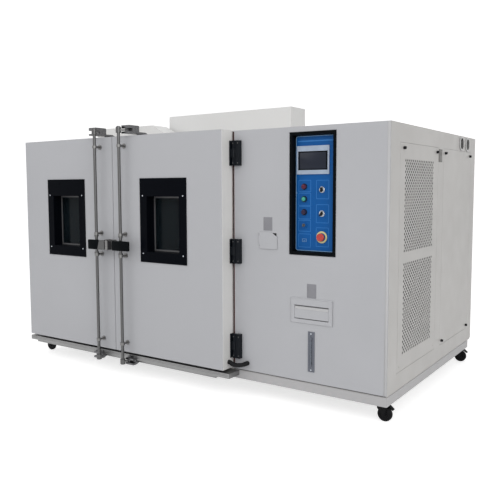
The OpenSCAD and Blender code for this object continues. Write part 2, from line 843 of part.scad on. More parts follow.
module lock(i) {
  x = rod_xs[i];
  reach = i == 0 ? left_lever_reach : right_lever_reach;
  angle = i == 0 ? 135 : 45;
  hub_r = 21;
  color("gray") placed() {
    bar_z(x, rod_y, rod_z0, rod_z1, rod_r);
    bar_z(x, rod_y, top_tongue_z - 16, top_tongue_z + 32, hub_r);
    bar_z(x, rod_y, rod_z0 + 3, low_tongue_z + 27, hub_r);
    tongue(x, top_tongue_z, top_cam_reach, angle);
    tongue(x, low_tongue_z, low_cam_reach, angle);
    bar_z(x, rod_y, guide_zs[1] + 11 + seat, guide_zs[1] + 24, rod_r + 6);
    bar_z(x, rod_y, guide_zs[2] - 24, guide_zs[2] - 11 - seat, rod_r + 6);
    bar_z(x, rod_y, lever_z - lever_h / 2 + 4, lever_z + lever_h / 2 - 4, rod_r + 8);
    block([x - 16, lever_y, lever_z - 26], [x + 16, rod_y, lever_z + 26]);
    translate([x, lever_y, 0]) lever_bar(reach);
  }
}

// Flat bar with rounded corners, seen from the front.
module lever_bar(reach) {
  r = 8;
  x0 = -lever_back;
  z0 = lever_z - lever_h / 2;
  z1 = lever_z + lever_h / 2;
  along_y(-lever_t / 2, lever_t / 2) polygon(concat(
    arc([reach - r, z1 - r], r, 0, 90, 6), arc([x0 + r, z1 - r], r, 90, 180, 6),
    arc([x0 + r, z0 + r], r, 180, 270, 6), arc([reach - r, z0 + r], r, 270, 360, 6)));
}

// Jaws that the cams' tongues turn into, on the roof's edge and on the sill.
module lock_keepers() {
  y0 = rod_y + 26;
  y1 = rod_y + top_cam_reach + 6;
  z = top_tongue_z;
  w = y0 + keeper_d;
  top = z + 44;
  ly = -sill_d - 9;
  lz = low_tongue_z;
  color("dimgray") placed() for (i = [0, 1]) {
    x0 = i == 0 ? rod_xs[0] - keeper_in - keeper_w : rod_xs[1] + keeper_in;
    along_x(x0, x0 + keeper_w) polygon([
      [5, body_top], [60, body_top], [60, body_top + 15], [20, z - 6], [w, z - 6],
      [w, top - 6], [w - 6, top], [y0, top], [y0, z + 20], [y1, z + 20], [y1, z - 6],
      [y0, z - 6], [y0, z - 20], [5, z - 20]]);
    for (x = [x0 + 20, x0 + keeper_w - 20]) bar_z(x, 45, body_top + 10, body_top + 22, 9);
    along_x(x0, x0 + keeper_w) polygon([
      [-sill_d, deck_z - 6], [ly, deck_z - 6], [ly, lz + 34], [y0, lz + 34], [y0, lz + 20],
      [ly, lz + 20], [ly, lz - 6], [y0, lz - 6], [y0, lz - 20], [-sill_d + 5, lz - 20],
      [-skirt_d, base_z + 2], [-skirt_d, deck_z - sill_h - seat],
      [-sill_d, deck_z - sill_h - seat]]);
  }
}

// Machine compartment

module side_bar(y0, y1, z0, z1, lip_y0, lip_y1, lip_z0, lip_z1) {
  step = sheet_t + seat;
  block([-step, y0, z0], [0, y1, z1]);
  block([-side_t, y0 - lip_y0, z0 - lip_z0], [-step, y1 + lip_y1, z1 + lip_z1]);
}

module machine_frame() {
  groove = 3;
  top = body_top - sheet_t - seat;
  y0 = sheet_t + seat;
  y1 = body_d - sheet_t - seat;
  g = seat;
  l = lip_w;
  color("linen") placed() {
    side_bar(y0, vent_y0, skin_z, top, 0, l, 0, 0);
    side_bar(vent_y1, service_y0, skin_z, top, l, l, 0, 0);
    side_bar(service_y1, y1, skin_z, top, l, 0, 0, 0);
    side_bar(vent_y0 + g, vent_y1 - g, skin_z, side_z0, -l, -l, 0, l);
    side_bar(vent_y0 + g, vent_y1 - g, side_z1, top, -l, -l, l, 0);
    side_bar(service_y0 + g, service_y1 - g, skin_z, side_z0, -l, -l, 0, l);
    difference() {
      side_bar(service_y0 + g, service_y1 - g, side_z1, top, -l, -l, l, 0);
      for (y = port_ys) bar_x(-side_t - 1, 1, y, port_z, port_r + 5 + seat);
    }
    block([seam_x + 10, groove, deck_z], [-groove, y1 - groove, skin_z - seat]);
  }
}

// Front sheet with its openings, and the socket's pocket behind the hatch.
module machine_front() {
  t = sheet_t;
  cw = control_w - 30;
  ch = control_h - 34;
  hx0 = hatch_x - hatch_w / 2 + 12;
  hx1 = hatch_x + hatch_w / 2 - 8;
  hz0 = hatch_z + 12;
  hz1 = hatch_z + hatch_h - 8;
  color("gainsboro") placed() {
    difference() {
      union() {
        difference() {
          block([hx0 - t, t, hz0 - t], [hx1 + t, hatch_pocket, hz1 + t]);
          block([hx0, 0, hz0], [hx1, hatch_pocket - t, hz1]);
        }
        bar_y((hx0 + hx1) / 2, hatch_pocket - 26, hatch_pocket - t, (hz0 + hz1) / 2, socket_r);
      }
      bar_y((hx0 + hx1) / 2, hatch_pocket - 27, hatch_pocket - 10, (hz0 + hz1) / 2, socket_r - 6);
    }
    along_y(0, t) difference() {
      pane_2d([seam_x, skin_z], [0, body_top]);
      pane_2d([control_x - cw / 2, control_z + 17], [control_x + cw / 2, control_z + 17 + ch]);
      pane_2d([tray_x - tray_open_w / 2, tray_z + tray_border],
        [tray_x + tray_open_w / 2, tray_z + tray_border + tray_open_h]);
      pane_2d([hx0, hz0], [hx1, hz1]);
    }
    block([seam_x, t, skin_z], [seam_x + t, 30, body_top - t - seat]);
    block([seam_x + t, t, body_top - 2 * t - seat], [-side_t - 1, 30, body_top - t - seat]);
    for (z = [hatch_z + 20, hatch_z + hatch_h - 30]) difference() {
      union() {
        bar_z(hatch_pin_x, hatch_pin_y, z, z + 10, 4);
        block([hatch_pin_x - 4, hatch_pin_y, z], [hatch_pin_x, 0, z + 10]);
      }
      bar_z(hatch_pin_x, hatch_pin_y, z - 1, z + 11, 2 + run);
    }
  }
}

// Small cover with a cut corner for a finger, turning on its left edge.
module socket_hatch() {
  x0 = hatch_x - hatch_w / 2;
  x1 = hatch_x + hatch_w / 2;
  z1 = hatch_z + hatch_h;
  color("gainsboro") placed() {
    along_y(-5, -2) polygon([[x0, hatch_z], [x1, hatch_z], [x1, z1 - hatch_cut_h],
      [x1 - hatch_cut_w, z1], [x0, z1]]);
    bar_z(hatch_pin_x, hatch_pin_y, hatch_z + 14, z1 - 14, 2);
    for (z = [hatch_z + 14, z1 - 19.5]) {
      bar_z(hatch_pin_x, hatch_pin_y, z, z + 5.5, 4);
      block([hatch_pin_x, -5, z], [x0 + 1, -2, z + 5.5]);
    }
    bar_z(hatch_pin_x, hatch_pin_y, hatch_z + 30.5, z1 - 30.5, 4);
    block([hatch_pin_x, -5, hatch_z + 30.5], [x0 + 1, -2, z1 - 30.5]);
  }
}

module panel_sheet_2d(y0, y1) {
  g = 2;
  pane_2d([y0 + g, side_z0 + g], [y1 - g, side_z1 - g]);
}

module vent_panel() {
  nx = floor(vent_w / vent_pitch);
  nz = floor(vent_h / vent_row);
  color("linen") placed() along_x(-sheet_t, 0) difference() {
    panel_sheet_2d(vent_y0, vent_y1);
    for (z0 = vent_zs) for (k = [0 : nz]) for (j = [0 : nx - (k % 2)])
      translate([vent_y0 + vent_in + vent_pitch * (j + (k % 2) / 2), z0 + vent_row * k])
        circle(r = vent_r, $fn = 16);
  }
}

module service_panel() {
  color("linen") placed() along_x(-sheet_t, 0) panel_sheet_2d(service_y0, service_y1);
}

// Roof sheet and rear sheet, which has louvred slots.
module machine_covers() {
  slot_in = 180;
  slot_w = 380;
  slot_h = 12;
  slot_step = 40;
  slot_rows = 14;
  color("whitesmoke") placed() {
    block([seam_x, sheet_t, body_top - sheet_t], [0, body_d, body_top]);
    along_y(body_d - sheet_t, body_d) difference() {
      pane_2d([seam_x, skin_z], [0, body_top - sheet_t - seat]);
      for (k = [0 : slot_rows - 1]) for (x = [seam_x + slot_in, -slot_in - slot_w])
        translate([x, skin_z + slot_in + slot_step * k]) square([slot_w, slot_h]);
    }
  }
}

module side_ports() {
  color("silver") placed() for (y = port_ys) difference() {
    union() {
      bar_x(port_out - port_len, 1, y, port_z, port_r + 5);
      bar_x(0, port_out, y, port_z, port_flange_r);
    }
    bar_x(port_out - port_len - 1, port_out + 1, y, port_z, port_r);
  }
}

module panel_knobs() {
  color("black") placed() for (p = knob_places) {
    bar_x(0, 4, p[0], p[1], knob_r + 2);
    bar_x(4, knob_out, p[0], p[1], knob_r);
  }
}

// Control panel

module control_frame() {
  cw = control_w - 31;
  ch = control_h - 35;
  zc = control_z + control_h / 2;
  b = control_border;
  w = control_w - 2 * b;
  h = control_h - 2 * b;
  color("black") placed() difference() {
    union() {
      block([control_x - control_w / 2, -control_proud, control_z],
        [control_x + control_w / 2, 0, control_z + control_h]);
      block([control_x - cw / 2, -1, zc - ch / 2], [control_x + cw / 2, control_box_d, zc + ch / 2]);
    }
    block([control_x - w / 2, -control_proud - 1, zc - h / 2],
      [control_x + w / 2, plate_y + 1, zc + h / 2]);
    block([control_x - cw / 2 + 3, plate_y, zc - ch / 2 + 3],
      [control_x + cw / 2 - 3, control_box_d - 3, zc + ch / 2 - 3]);
  }
}

module control_plate() {
  cw = control_w - 31 - 6 - 2 * seat;
  ch = control_h - 35 - 6 - 2 * seat;
  zc = control_z + control_h / 2;
  y0 = plate_y + seat;
  ring_y = plate_y - 5;
  color("royalblue") placed() difference() {
    union() {
      block([control_x - cw / 2, y0, zc - ch / 2], [control_x + cw / 2, y0 + plate_t, zc + ch / 2]);
      for (z = concat(button_zs, [key_z])) bar_y(left_col, ring_y, y0 + 1, z, button_r + 4);
      for (z = selector_zs) bar_y(right_col, ring_y, y0 + 1, z, button_r + 4);
      bar_y(right_col, ring_y + 2, y0 + 1, stop_z, stop_ring_r);
    }
    for (z = concat(button_zs, [key_z])) bar_y(left_col, ring_y - 1, y0 + plate_t + 1, z, stem_r + run);
    for (z = concat(selector_zs, [stop_z])) bar_y(right_col, ring_y - 1, y0 + plate_t + 1, z, stem_r + run);
  }
}

module touch_screen() {
  t = 7;
  y1 = plate_y;
  color("silver") placed() difference() {
    block([screen_x - screen_w / 2, y1 - t, screen_z], [screen_x + screen_w / 2, y1, screen_z + screen_h]);
    block([screen_x - screen_w / 2 + 11, y1 - t - 1, screen_z + 29],
      [screen_x + screen_w / 2 - 12, y1 - t + 2, screen_z + screen_h - 37]);
  }
}

// Cap, stem and the nut behind the plate, with the cap travel in front of the ring.
module push_button(z) {
  y = plate_y - 5 - seat;
  color("red") placed() {
    bar_y(left_col, y - 10, y - button_travel, z, button_r);
    bar_y(left_col, y - button_travel - 1, plate_y + 40, z, stem_r);
    bar_y(left_col, plate_y + seat + plate_t + seat, plate_y + 20, z, stem_r + 3);
  }
}

module turn_switch(x, z, r, bar, angle) {
  y = plate_y - 5 - seat;
  color("black") placed() {
    bar_y(x, y - 6, y, z, r);
    translate([x, 0, z]) rotate([0, angle, 0])
      block([-bar / 2, y - 20, -r + 1], [bar / 2, y - 5, r - 1]);
    bar_y(x, y - 1, plate_y + 40, z, stem_r);
    bar_y(x, plate_y + seat + plate_t + seat, plate_y + 20, z, stem_r + 3);
  }
}

module emergency_stop() {
  y = plate_y - 3 - seat;
  stop_travel = 6;
  color("red") placed() {
    translate([right_col, y - stop_travel, stop_z]) rotate([90, 0, 0]) rotate_extrude()
      polygon(concat([[0, 0], [stop_head_r - 8, 0], [stop_head_r, 10]],
        arc([stop_head_r - 6, 16], 6, 0, 90, 5), [[0, 25]]));
    bar_y(right_col, y - stop_travel - 1, plate_y + 40, stop_z, stem_r);
    bar_y(right_col, plate_y + seat + plate_t + seat, plate_y + 20, stop_z, stem_r + 3);
  }
}

// Water tray and level gauge

module tray_frame() {
  b = tray_border;
  t = tray_frame_t;
  x0 = tray_x - tray_w / 2;
  x1 = tray_x + tray_w / 2;
  z1 = tray_z + tray_h;
  color("gainsboro") placed() {
    along_y(-t, 0) difference() {
      pane_2d([x0, tray_z], [x1, z1]);
      pane_2d([x0 + b + tray_ear_t, tray_z + b + 2], [x1 - b - tray_ear_t, z1 - b - 26]);
    }
    for (s = [-1, 1]) difference() {
      x = tray_x + s * (tray_open_w - tray_ear_t) / 2;
      block([x - tray_ear_t / 2, 0, tray_z + b + seat], [x + tray_ear_t / 2, 20, tray_z + b + 24]);
      bar_x(x - 5, x + 5, tray_pin_y, tray_pin_z, 3 + run);
    }
  }
}

// Front with a bevelled finger edge, and a bucket curved about the hinge.
module water_tray() {
  w = tray_open_w - 2 * (tray_ear_t + 1);
  x0 = tray_x - w / 2;
  x1 = tray_x + w / 2;
  z0 = tray_z + tray_border + 7;
  z1 = z0 + tray_front_h;
  c = [tray_pin_y, tray_pin_z];
  t = 2;
  color("gainsboro") placed() {
    along_x(x0, x1) polygon([[-3, z0], [0, z0], [0, z1], [-1, z1], [-3, z1 - 20]]);
    difference() {
      along_x(x0 + 14, x1 - 14)
        polygon(concat([[-0.5, c[1] - 2]], arc(c, bucket_r, 0, 78, 10), [[-0.5, z1 - 8]]));
      along_x(x0 + 14 + t, x1 - 14 - t)
        polygon(concat([[0, c[1]]], arc(c, bucket_r - t, 1, 78, 10), [[8, z1 + 20], [0, z1 + 20]]));
    }
    bar_x(x0 - tray_ear_t - 1, x1 + tray_ear_t + 1, tray_pin_y, tray_pin_z, 3);
    for (s = [-1, 1]) {
      x = tray_x + s * (w / 2 - 11);
      block([x - 2.5, -1, tray_pin_z - 4], [x + 2.5, tray_pin_y, tray_pin_z + 4]);
    }
  }
}

module level_gauge() {
  x = gauge_x;
  w = gauge_w;
  t = 5;
  zc = gauge_z + gauge_h / 2;
  slot_h = 190;
  color("slategray") placed() {
    difference() {
      block([x - w / 2, -t, gauge_z], [x + w / 2, 0, gauge_z + gauge_h]);
      block([x - 8, -t - 1, zc - slot_h / 2], [x + 8, -1.5, zc + slot_h / 2]);
    }
    bar_z(x, -9, zc - slot_h / 2 + 6, zc + slot_h / 2 - 6, 5);
    for (s = [-1, 1]) {
      bar_z(x, -9, zc + s * (slot_h / 2) - 9, zc + s * (slot_h / 2) + 9, 8);
      bar_y(x, -9, -1, zc + s * slot_h / 2, 6);
      bar_y(x, -t - 3, -t, zc + s * (gauge_h / 2 - 14), 6);
    }
  }
}

// Inside the machine compartment

module compressors() {
  r = comp_r;
  color("black") placed() for (d = comp_backs) translate([seam_x + comp_x, body_d - d, skin_z - seat]) {
    for (a = [45 : 90 : 315]) rotate([0, 0, a]) translate([r + 10, 0, 0]) cylinder(r = 16, h = 22);
    translate([0, 0, 22]) cylinder(r = r + 30, h = 6);
    translate([0, 0, 28]) rotate_extrude()
      polygon(concat([[0, 0], [r - 20, 0]], arc([r - 20, 20], 20, -90, 0, 6),
        arc([r - 60, 320], 60, 0, 90, 8), [[0, 380]]));
    translate([r - 6, 0, 150]) rotate([0, 90, 0]) cylinder(r = 12, h = 60);
    translate([40, 0, 400]) cylinder(r = 8, h = 70);
  }
}

// Finned block on a stand, with the fan's ring and its three-armed motor bracket.
module condenser() {
  x0 = cond_x1 - cond_t;
  z1 = cond_top;
  ring_x = x0 - cond_ring;
  color("silver") placed() {
    for (y = [cond_y0, cond_y1 - 4]) block([x0, y, cond_z0], [cond_x1, y + 4, z1]);
    for (z = [cond_z0 + 120 : 30 : z1 - 20])
      block([x0 + 4, cond_y0 + 4, z], [cond_x1 - 4, cond_y1 - 4, z + 2]);
    for (y = [cond_y0 + 60 : 120 : cond_y1 - 40]) bar_z(x0 + cond_t / 2, y, cond_z0 + 100, z1 - 10, 7);
    difference() {
      union() {
        block([x0 - 4, cond_y0, cond_zc - cond_fan_r - 60], [x0, cond_y1, cond_zc + cond_fan_r + 60]);
        bar_x(ring_x, x0, cond_yc, cond_zc, cond_fan_r + 8);
      }
      bar_x(ring_x - 1, x0 + 1, cond_yc, cond_zc, cond_fan_r + 4);
    }
    difference() {
      union() {
        bar_x(ring_x - 90, ring_x - 14, cond_yc, cond_zc, 60);
        for (a = [90, 210, 330]) translate([ring_x - 14, cond_yc, cond_zc]) rotate([a, 0, 0])
          block([-6, -10, 0], [0, 10, cond_fan_r + 7]);
        for (a = [90, 210, 330]) translate([ring_x - 14, cond_yc, cond_zc]) rotate([a, 0, 0])
          block([-6, -10, cond_fan_r + 4.5], [15, 10, cond_fan_r + 7.5]);
      }
      bar_x(ring_x - 60, ring_x, cond_yc, cond_zc, shaft_r + run);
    }
  }
}

module condenser_fan() {
  x0 = cond_x1 - cond_t - cond_ring + 10;
  color("dimgray") placed() translate([x0, cond_yc, cond_zc]) {
    bar_x(0, 40, 0, 0, 45);
    bar_x(-60, 1, 0, 0, shaft_r);
    for (a = [0 : 72 : 288]) rotate([a, 0, 0]) translate([20, 0, 0]) rotate([0, 0, 32])
      along_x(-1.5, 1.5) polygon(concat([[-16, 30]], arc([0, 0], cond_fan_r - 6, 104, 76, 8), [[16, 30]]));
  }
}

// Short conduit from the right door's edge to the machine's front
conduit_pts = [
  for (p = [[-2.6, -66, 256], [10, -66, 256], [24, -70, 252], [42, -75, 247],
    [64, -75, 245], [86, -68, 245], [106, -54, 247], [120, -36, 250],
    [126, -16, 252], [126, -0.4, 252]]) [seam_x + p[0], p[1], p[2]]
];

function unit(v) = v / norm(v);
function tangent(p, i) = unit(p[min(i + 1, len(p) - 1)] - p[max(i - 1, 0)]);
function ring(p, i, r, n) =
  let (t = tangent(p, i), u = unit(cross([0, 0, 1], t)), v = cross(t, u))
  [for (k = [0 : n - 1]) p[i] + r * (cos(360 * k / n) * u + sin(360 * k / n) * v)];

module tube(p, r, n) {
  m = len(p);
  polyhedron(
    points = [for (i = [0 : m - 1]) each ring(p, i, r, n)],
    faces = concat(
      [[for (k = [0 : n - 1]) k]],
      [for (i = [0 : m - 2]) for (k = [0 : n - 1])
        [i * n + k, (i + 1) * n + k, (i + 1) * n + (k + 1) % n, i * n + (k + 1) % n]],
      [[for (k = [n - 1 : -1 : 0]) (m - 1) * n + k]]));
}

module door_conduit() {
  color("black") placed() tube(conduit_pts, conduit_r, 12);
}

// Casters: fork with its kingpin, axle and pedal ears

module caster_place(i) {
  placed() translate([swivels[i][0], swivels[i][1], 0]) rotate([0, 0, swivels[i][2]]) children();
}

module caster_fork(i) {
  crown_z = race_z - seat - 4;
  leg_y = wheel_w / 2 + 3;
  color("silver") caster_place(i) {
    bar_z(0, 0, crown_z, race_z - seat, 26);
    bar_z(0, 0, crown_z, base_z - 3, kingpin_r);
    block([-14, -leg_y - 4, crown_z], [pedal_x - 6, leg_y + 4, race_z - seat]);
    for (s = [-1, 1]) {
      y = s > 0 ? leg_y : -leg_y - 4;
      along_y(y, y + 4) polygon(concat([[-14, crown_z + 1], [-14, crown_z - 14]],
        arc([trail, wheel_r], 12, 200, 340, 8), [[46, crown_z - 10], [46, crown_z + 1]]));
      along_y(s > 0 ? 17.5 : -20.5, s > 0 ? 20.5 : -17.5)
        polygon([[pedal_x - 7, crown_z - 2], [pedal_x + 7, crown_z - 2],
          [pedal_x + 5, pedal_z + 5], [pedal_x - 5, pedal_z + 5]]);
    }
    bar_y(trail, -leg_y - 8, leg_y + 8, wheel_r, axle_r);
    bar_y(pedal_x, -21, 21, pedal_z, 2.5);
  }
}

module caster_wheel(i) {
  h = wheel_w / 2;
  color("black") caster_place(i) translate([trail, 0, wheel_r]) rotate([90, 0, 0])
    rotate_extrude() polygon(concat(
      [[axle_r + run, -h - 2], [14, -h - 2], [16, -h + 4], [30, -h + 4], [32, -h]],
      arc([wheel_r - 8, -h + 8], 8, -90, 0, 5), arc([wheel_r - 8, h - 8], 8, 0, 90, 5),
      [[32, h], [30, h - 4], [16, h - 4], [14, h + 2], [axle_r + run, h + 2]]));
}

module caster_pedal(i) {
  color("black") caster_place(i) difference() {
    along_y(-17, 17) union() {
      translate([pedal_x, pedal_z]) circle(r = 5);
      polygon([[pedal_x, pedal_z - 4.5], [66, pedal_z - 8], [pedal_reach - 2, 84],
        [pedal_reach, 88], [70, pedal_z + 1],
        [pedal_x, pedal_z + 5]]);
    }
    bar_y(pedal_x, -20, 20, pedal_z, 2.5 + run);
  }
}

base_frame();
door_sill();
chamber_panels();
chamber_liner();
lock_keepers();
hinge_blocks();
air_baffle();
evaporator_coil();
roof_covers();
machine_frame();
machine_front();
vent_panel();
service_panel();
machine_covers();
side_ports();
panel_knobs();
control_frame();
control_plate();
touch_screen();
tray_frame();
level_gauge();
compressors();
condenser();
door_conduit();
door_leaf(0);  // left_door_leaf
window_bezel(0);  // left_window_bezel
window_pane(0);  // left_window_pane
door_gasket(0);  // left_door_gasket
door_fittings(0);  // left_door_fittings
door_leaf(1);  // right_door_leaf
window_bezel(1);  // right_window_bezel
window_pane(1);  // right_window_pane
door_gasket(1);  // right_door_gasket
door_fittings(1);  // right_door_fittings
lock(0);  // left_lock
lock(1);  // right_lock
push_button(button_zs[0]);  // red_button
push_button(button_zs[1]);  // green_button
push_button(button_zs[2]);  // dark_button
turn_switch(left_col, key_z, 11, 4, 0);  // key_switch
turn_switch(right_col, selector_zs[0], button_r, 9, 0);  // upper_selector
turn_switch(right_col, selector_zs[1], button_r, 9, 30);  // lower_selector
emergency_stop();
water_tray();
socket_hatch();
circulation_fan(fan_xs[0]);  // circulation_fan_1
circulation_fan(fan_xs[1]);  // circulation_fan_2
condenser_fan();
caster_fork(0);  // caster_fork_1
caster_fork(1);  // caster_fork_2
caster_fork(2);  // caster_fork_3
caster_fork(3);  // caster_fork_4
caster_wheel(0);  // caster_wheel_1
caster_wheel(1);  // caster_wheel_2
caster_wheel(2);  // caster_wheel_3
caster_wheel(3);  // caster_wheel_4
caster_pedal(0);  // caster_pedal_1
caster_pedal(1);  // caster_pedal_2
caster_pedal(2);  // caster_pedal_3
caster_pedal(3);  // caster_pedal_4
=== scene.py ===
"""Looks for a walk-in environmental test chamber: finishes, small fittings, light and camera.

The CAD model is loaded as a fixed frame. Places are in millimetres from the machine
compartment's front right corner on the floor: x to the right, y to the back, z up.
"""
import json
import math

import bmesh
import bpy
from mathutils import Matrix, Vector


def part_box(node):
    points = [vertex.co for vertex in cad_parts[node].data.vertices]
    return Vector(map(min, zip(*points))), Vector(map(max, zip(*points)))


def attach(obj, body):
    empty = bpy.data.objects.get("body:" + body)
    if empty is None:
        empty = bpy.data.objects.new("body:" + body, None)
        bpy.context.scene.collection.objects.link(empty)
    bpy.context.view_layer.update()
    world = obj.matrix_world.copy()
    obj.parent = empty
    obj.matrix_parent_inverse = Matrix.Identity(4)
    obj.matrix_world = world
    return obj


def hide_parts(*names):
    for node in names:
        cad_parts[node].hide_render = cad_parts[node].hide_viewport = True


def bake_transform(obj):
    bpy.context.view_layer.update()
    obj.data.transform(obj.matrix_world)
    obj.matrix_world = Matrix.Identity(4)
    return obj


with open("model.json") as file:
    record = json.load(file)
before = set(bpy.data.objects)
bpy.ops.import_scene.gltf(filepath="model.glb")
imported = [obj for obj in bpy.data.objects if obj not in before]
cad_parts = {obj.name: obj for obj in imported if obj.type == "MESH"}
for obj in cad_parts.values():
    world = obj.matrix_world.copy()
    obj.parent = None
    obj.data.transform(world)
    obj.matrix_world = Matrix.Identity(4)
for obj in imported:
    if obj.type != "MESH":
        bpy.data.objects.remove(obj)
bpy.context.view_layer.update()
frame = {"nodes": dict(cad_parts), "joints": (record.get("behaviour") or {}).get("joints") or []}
joints = {joint["name"]: joint for joint in frame["joints"]}

MM = 0.001
BODY_DEPTH = 2000.0
CORNER = Vector((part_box("machine_front")[1].x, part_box("machine_covers")[1].y - BODY_DEPTH * MM, 0.0))


def at(x, y, z):
    """A place in millimetres from the machine's corner, as a point in the frame."""
    return CORNER + Vector((x, y, z)) * MM


def span(node):
    """Lowest and highest corner of a CAD node, in millimetres from the machine's corner."""
    low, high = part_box(node)
    return (low - CORNER) / MM, (high - CORNER) / MM


def middle(node):
    low, high = span(node)
    return (low + high) / 2


def joint_place(name):
    return (Vector(joints[name]["pos_m"]) - CORNER) / MM


# Camera

CAMERA_PLACE = (3.2498, -4.7664, 1.5634)
CAMERA_TURN = (85.126, 0.2503, 34.9016)
CAMERA_LENS = 45.91
CAMERA_SHIFT = (0.0309, -0.0169)


def make_camera():
    data = bpy.data.cameras.new("camera")
    data.sensor_width = 36.0
    data.lens = CAMERA_LENS
    data.shift_x, data.shift_y = CAMERA_SHIFT
    camera = bpy.data.objects.new("camera", data)
    camera.location = CAMERA_PLACE
    camera.rotation_euler = [math.radians(angle) for angle in CAMERA_TURN]
    bpy.context.collection.objects.link(camera)
    bpy.context.scene.camera = camera


# Materials


def add_node(tree, kind, inputs=(), **settings):
    """Adds a node; each of its inputs is a plain value or another node's output."""
    node = tree.nodes.new(kind)
    for key, value in settings.items():
        setattr(node, key, value)
    for key, value in dict(inputs).items():
        if isinstance(value, bpy.types.NodeSocket):
            tree.links.new(value, node.inputs[key])
        else:
            node.inputs[key].default_value = value
    return node


def shade(color, factor):
    return tuple(min(1.0, channel * factor) for channel in color)


class Shader:
    """A node tree that starts from the object's own coordinates and ends in one Principled shader."""

    def __init__(self, name):
        self.material = bpy.data.materials.new(name)
        self.material.use_nodes = True
        self.tree = self.material.node_tree
        self.shader = self.tree.nodes["Principled BSDF"]
        self.place = self.add("ShaderNodeTexCoord")["Object"]

    def add(self, kind, inputs=(), **settings):
        return add_node(self.tree, kind, inputs, **settings).outputs

    def link(self, source, target):
        self.tree.links.new(source, target)

    def give(self, **values):
        """Plain values for the shader's own sockets, named with underscores for spaces."""
        for name, value in values.items():
            self.shader.inputs[name.replace("_", " ")].default_value = value

    def noise(self, scale, detail=3.0, stretch=(1.0, 1.0, 1.0), roughness=0.5):
        place = self.add("ShaderNodeMapping", {"Vector": self.place, "Scale": stretch})["Vector"]
        return self.add("ShaderNodeTexNoise", {
            "Vector": place, "Scale": scale, "Detail": detail, "Roughness": roughness})["Fac"]

    def spread(self, value, low, high, start=0.3, end=0.7):
        return self.add("ShaderNodeMapRange", {
            "Value": value, "From Min": start, "From Max": end, "To Min": low, "To Max": high})["Result"]

    def blend(self, factor, *colors):
        first, second = (color if isinstance(color, bpy.types.NodeSocket) else (*color, 1.0)
                         for color in colors)
        return self.add("ShaderNodeMix", {"Factor": factor, 6: first, 7: second}, data_type="RGBA")[2]

    def mottle(self, pattern, color, darker, lighter):
        """The colour in two tones that follow a pattern."""
        return self.blend(self.spread(pattern, 0, 1), shade(color, darker), shade(color, lighter))

    def color(self, source):
        self.link(source, self.shader.inputs["Base Color"])

    def wear(self, scale, detail, low, high):
        """Roughness that drifts between two values."""
        self.link(self.spread(self.noise(scale, detail), low, high), self.shader.inputs["Roughness"])

    def test_across(self, operation, *numbers):
        """One where the place along x passes a test, else nought."""
        across = self.add("ShaderNodeSeparateXYZ", {"Vector": self.place})["X"]
        return self.add("ShaderNodeMath", enumerate((across, *numbers)), operation=operation)[0]

    def bump(self, height, strength, distance, edge=0.0):
        normal = {}
        if edge:
            normal["Normal"] = self.add("ShaderNodeBevel", {"Radius": edge}, samples=3)["Normal"]
        bump = self.add("ShaderNodeBump", {
            "Height": height, "Strength": strength, "Distance": distance, **normal})
        self.link(bump["Normal"], self.shader.inputs["Normal"])


ORANGE_PEEL = 420.0
PEEL_DEPTH = 0.0004
METAL_LINES = 34.0
GRAIN_DEPTH = 0.0003


def painted(name, color, rough=0.42, relief=0.12, edge=0.0025, tint=0.03, gloss=0.5):
    """Sprayed or powder-coated paint: slow tone changes, a fine orange peel and softened edges."""
    s = Shader(name)
    s.color(s.mottle(s.noise(1.3, 4.0), color, 1 - tint, 1 + tint))
    s.wear(7.0, 4.0, rough - 0.05, rough + 0.06)
    s.bump(s.noise(ORANGE_PEEL, 2.0), relief, PEEL_DEPTH, edge)
    s.give(Specular_IOR_Level=gloss)
    return s.material


def paint_lit_past_edge(name, color, edge_color, edge):
    """Paint with painted light: lighter on the faces beyond an edge along x, where light would fall on the
    door's edge.
    """
    s = Shader(name)
    s.color(s.blend(s.test_across("GREATER_THAN", edge), color, edge_color))
    s.wear(5.0, 4.0, 0.38, 0.46)
    s.bump(s.noise(ORANGE_PEEL, 2.0), 0.12, PEEL_DEPTH, 0.0025)
    return s.material


def brushed(name, color, rough=0.32, stretch=(1.0, 60.0, 60.0), tint=0.12):
    """Metal with a fine grain along the direction of its smallest stretch."""
    s = Shader(name)
    lines = s.noise(METAL_LINES, 5.0, stretch, 0.65)
    s.color(s.mottle(lines, color, 1 - tint, 1 + tint))
    s.give(Metallic=1.0)
    s.wear(5.0, 4.0, rough - 0.06, rough + 0.1)
    s.bump(lines, 0.12, GRAIN_DEPTH, 0.0008)
    return s.material


def fitting(name, steel, paint, middle_x, reach):
    """Bare steel within a reach of the middle along x; the hinge leaves beyond it are painted."""
    s = Shader(name)
    lines = s.noise(METAL_LINES, 5.0, (1.0, 40.0, 40.0), 0.65)
    bare = s.test_across("COMPARE", middle_x, reach)
    s.color(s.blend(bare, paint, s.mottle(lines, steel, 0.7, 1.3)))
    s.link(bare, s.shader.inputs["Metallic"])
    s.wear(5.0, 4.0, 0.3, 0.42)
    s.give(Specular_IOR_Level=0.15)
    s.bump(lines, 0.12, GRAIN_DEPTH, 0.0008)
    return s.material


def moulded(name, color, rough=0.4, grain=900.0, relief=0.1, coat=0.0, edge=0.0006, gloss=0.5):
    """Plastic or rubber with a fine moulded grain."""
    s = Shader(name)
    s.color(s.mottle(s.noise(11.0, 3.0), color, 0.9, 1.15))
    s.wear(23.0, 3.0, rough - 0.05, rough + 0.08)
    s.bump(s.noise(grain, 2.0), relief, GRAIN_DEPTH, edge)
    s.give(Coat_Weight=coat, Coat_Roughness=0.08, Specular_IOR_Level=gloss)
    return s.material


def glazing(name, color, weight, rough, bend):
    """Tinted glass with faint smears in its gloss."""
    s = Shader(name)
    s.give(Base_Color=(*color, 1.0), Transmission_Weight=weight, IOR=bend)
    s.wear(6.0, 5.0, rough, rough + 0.06)
    return s.material


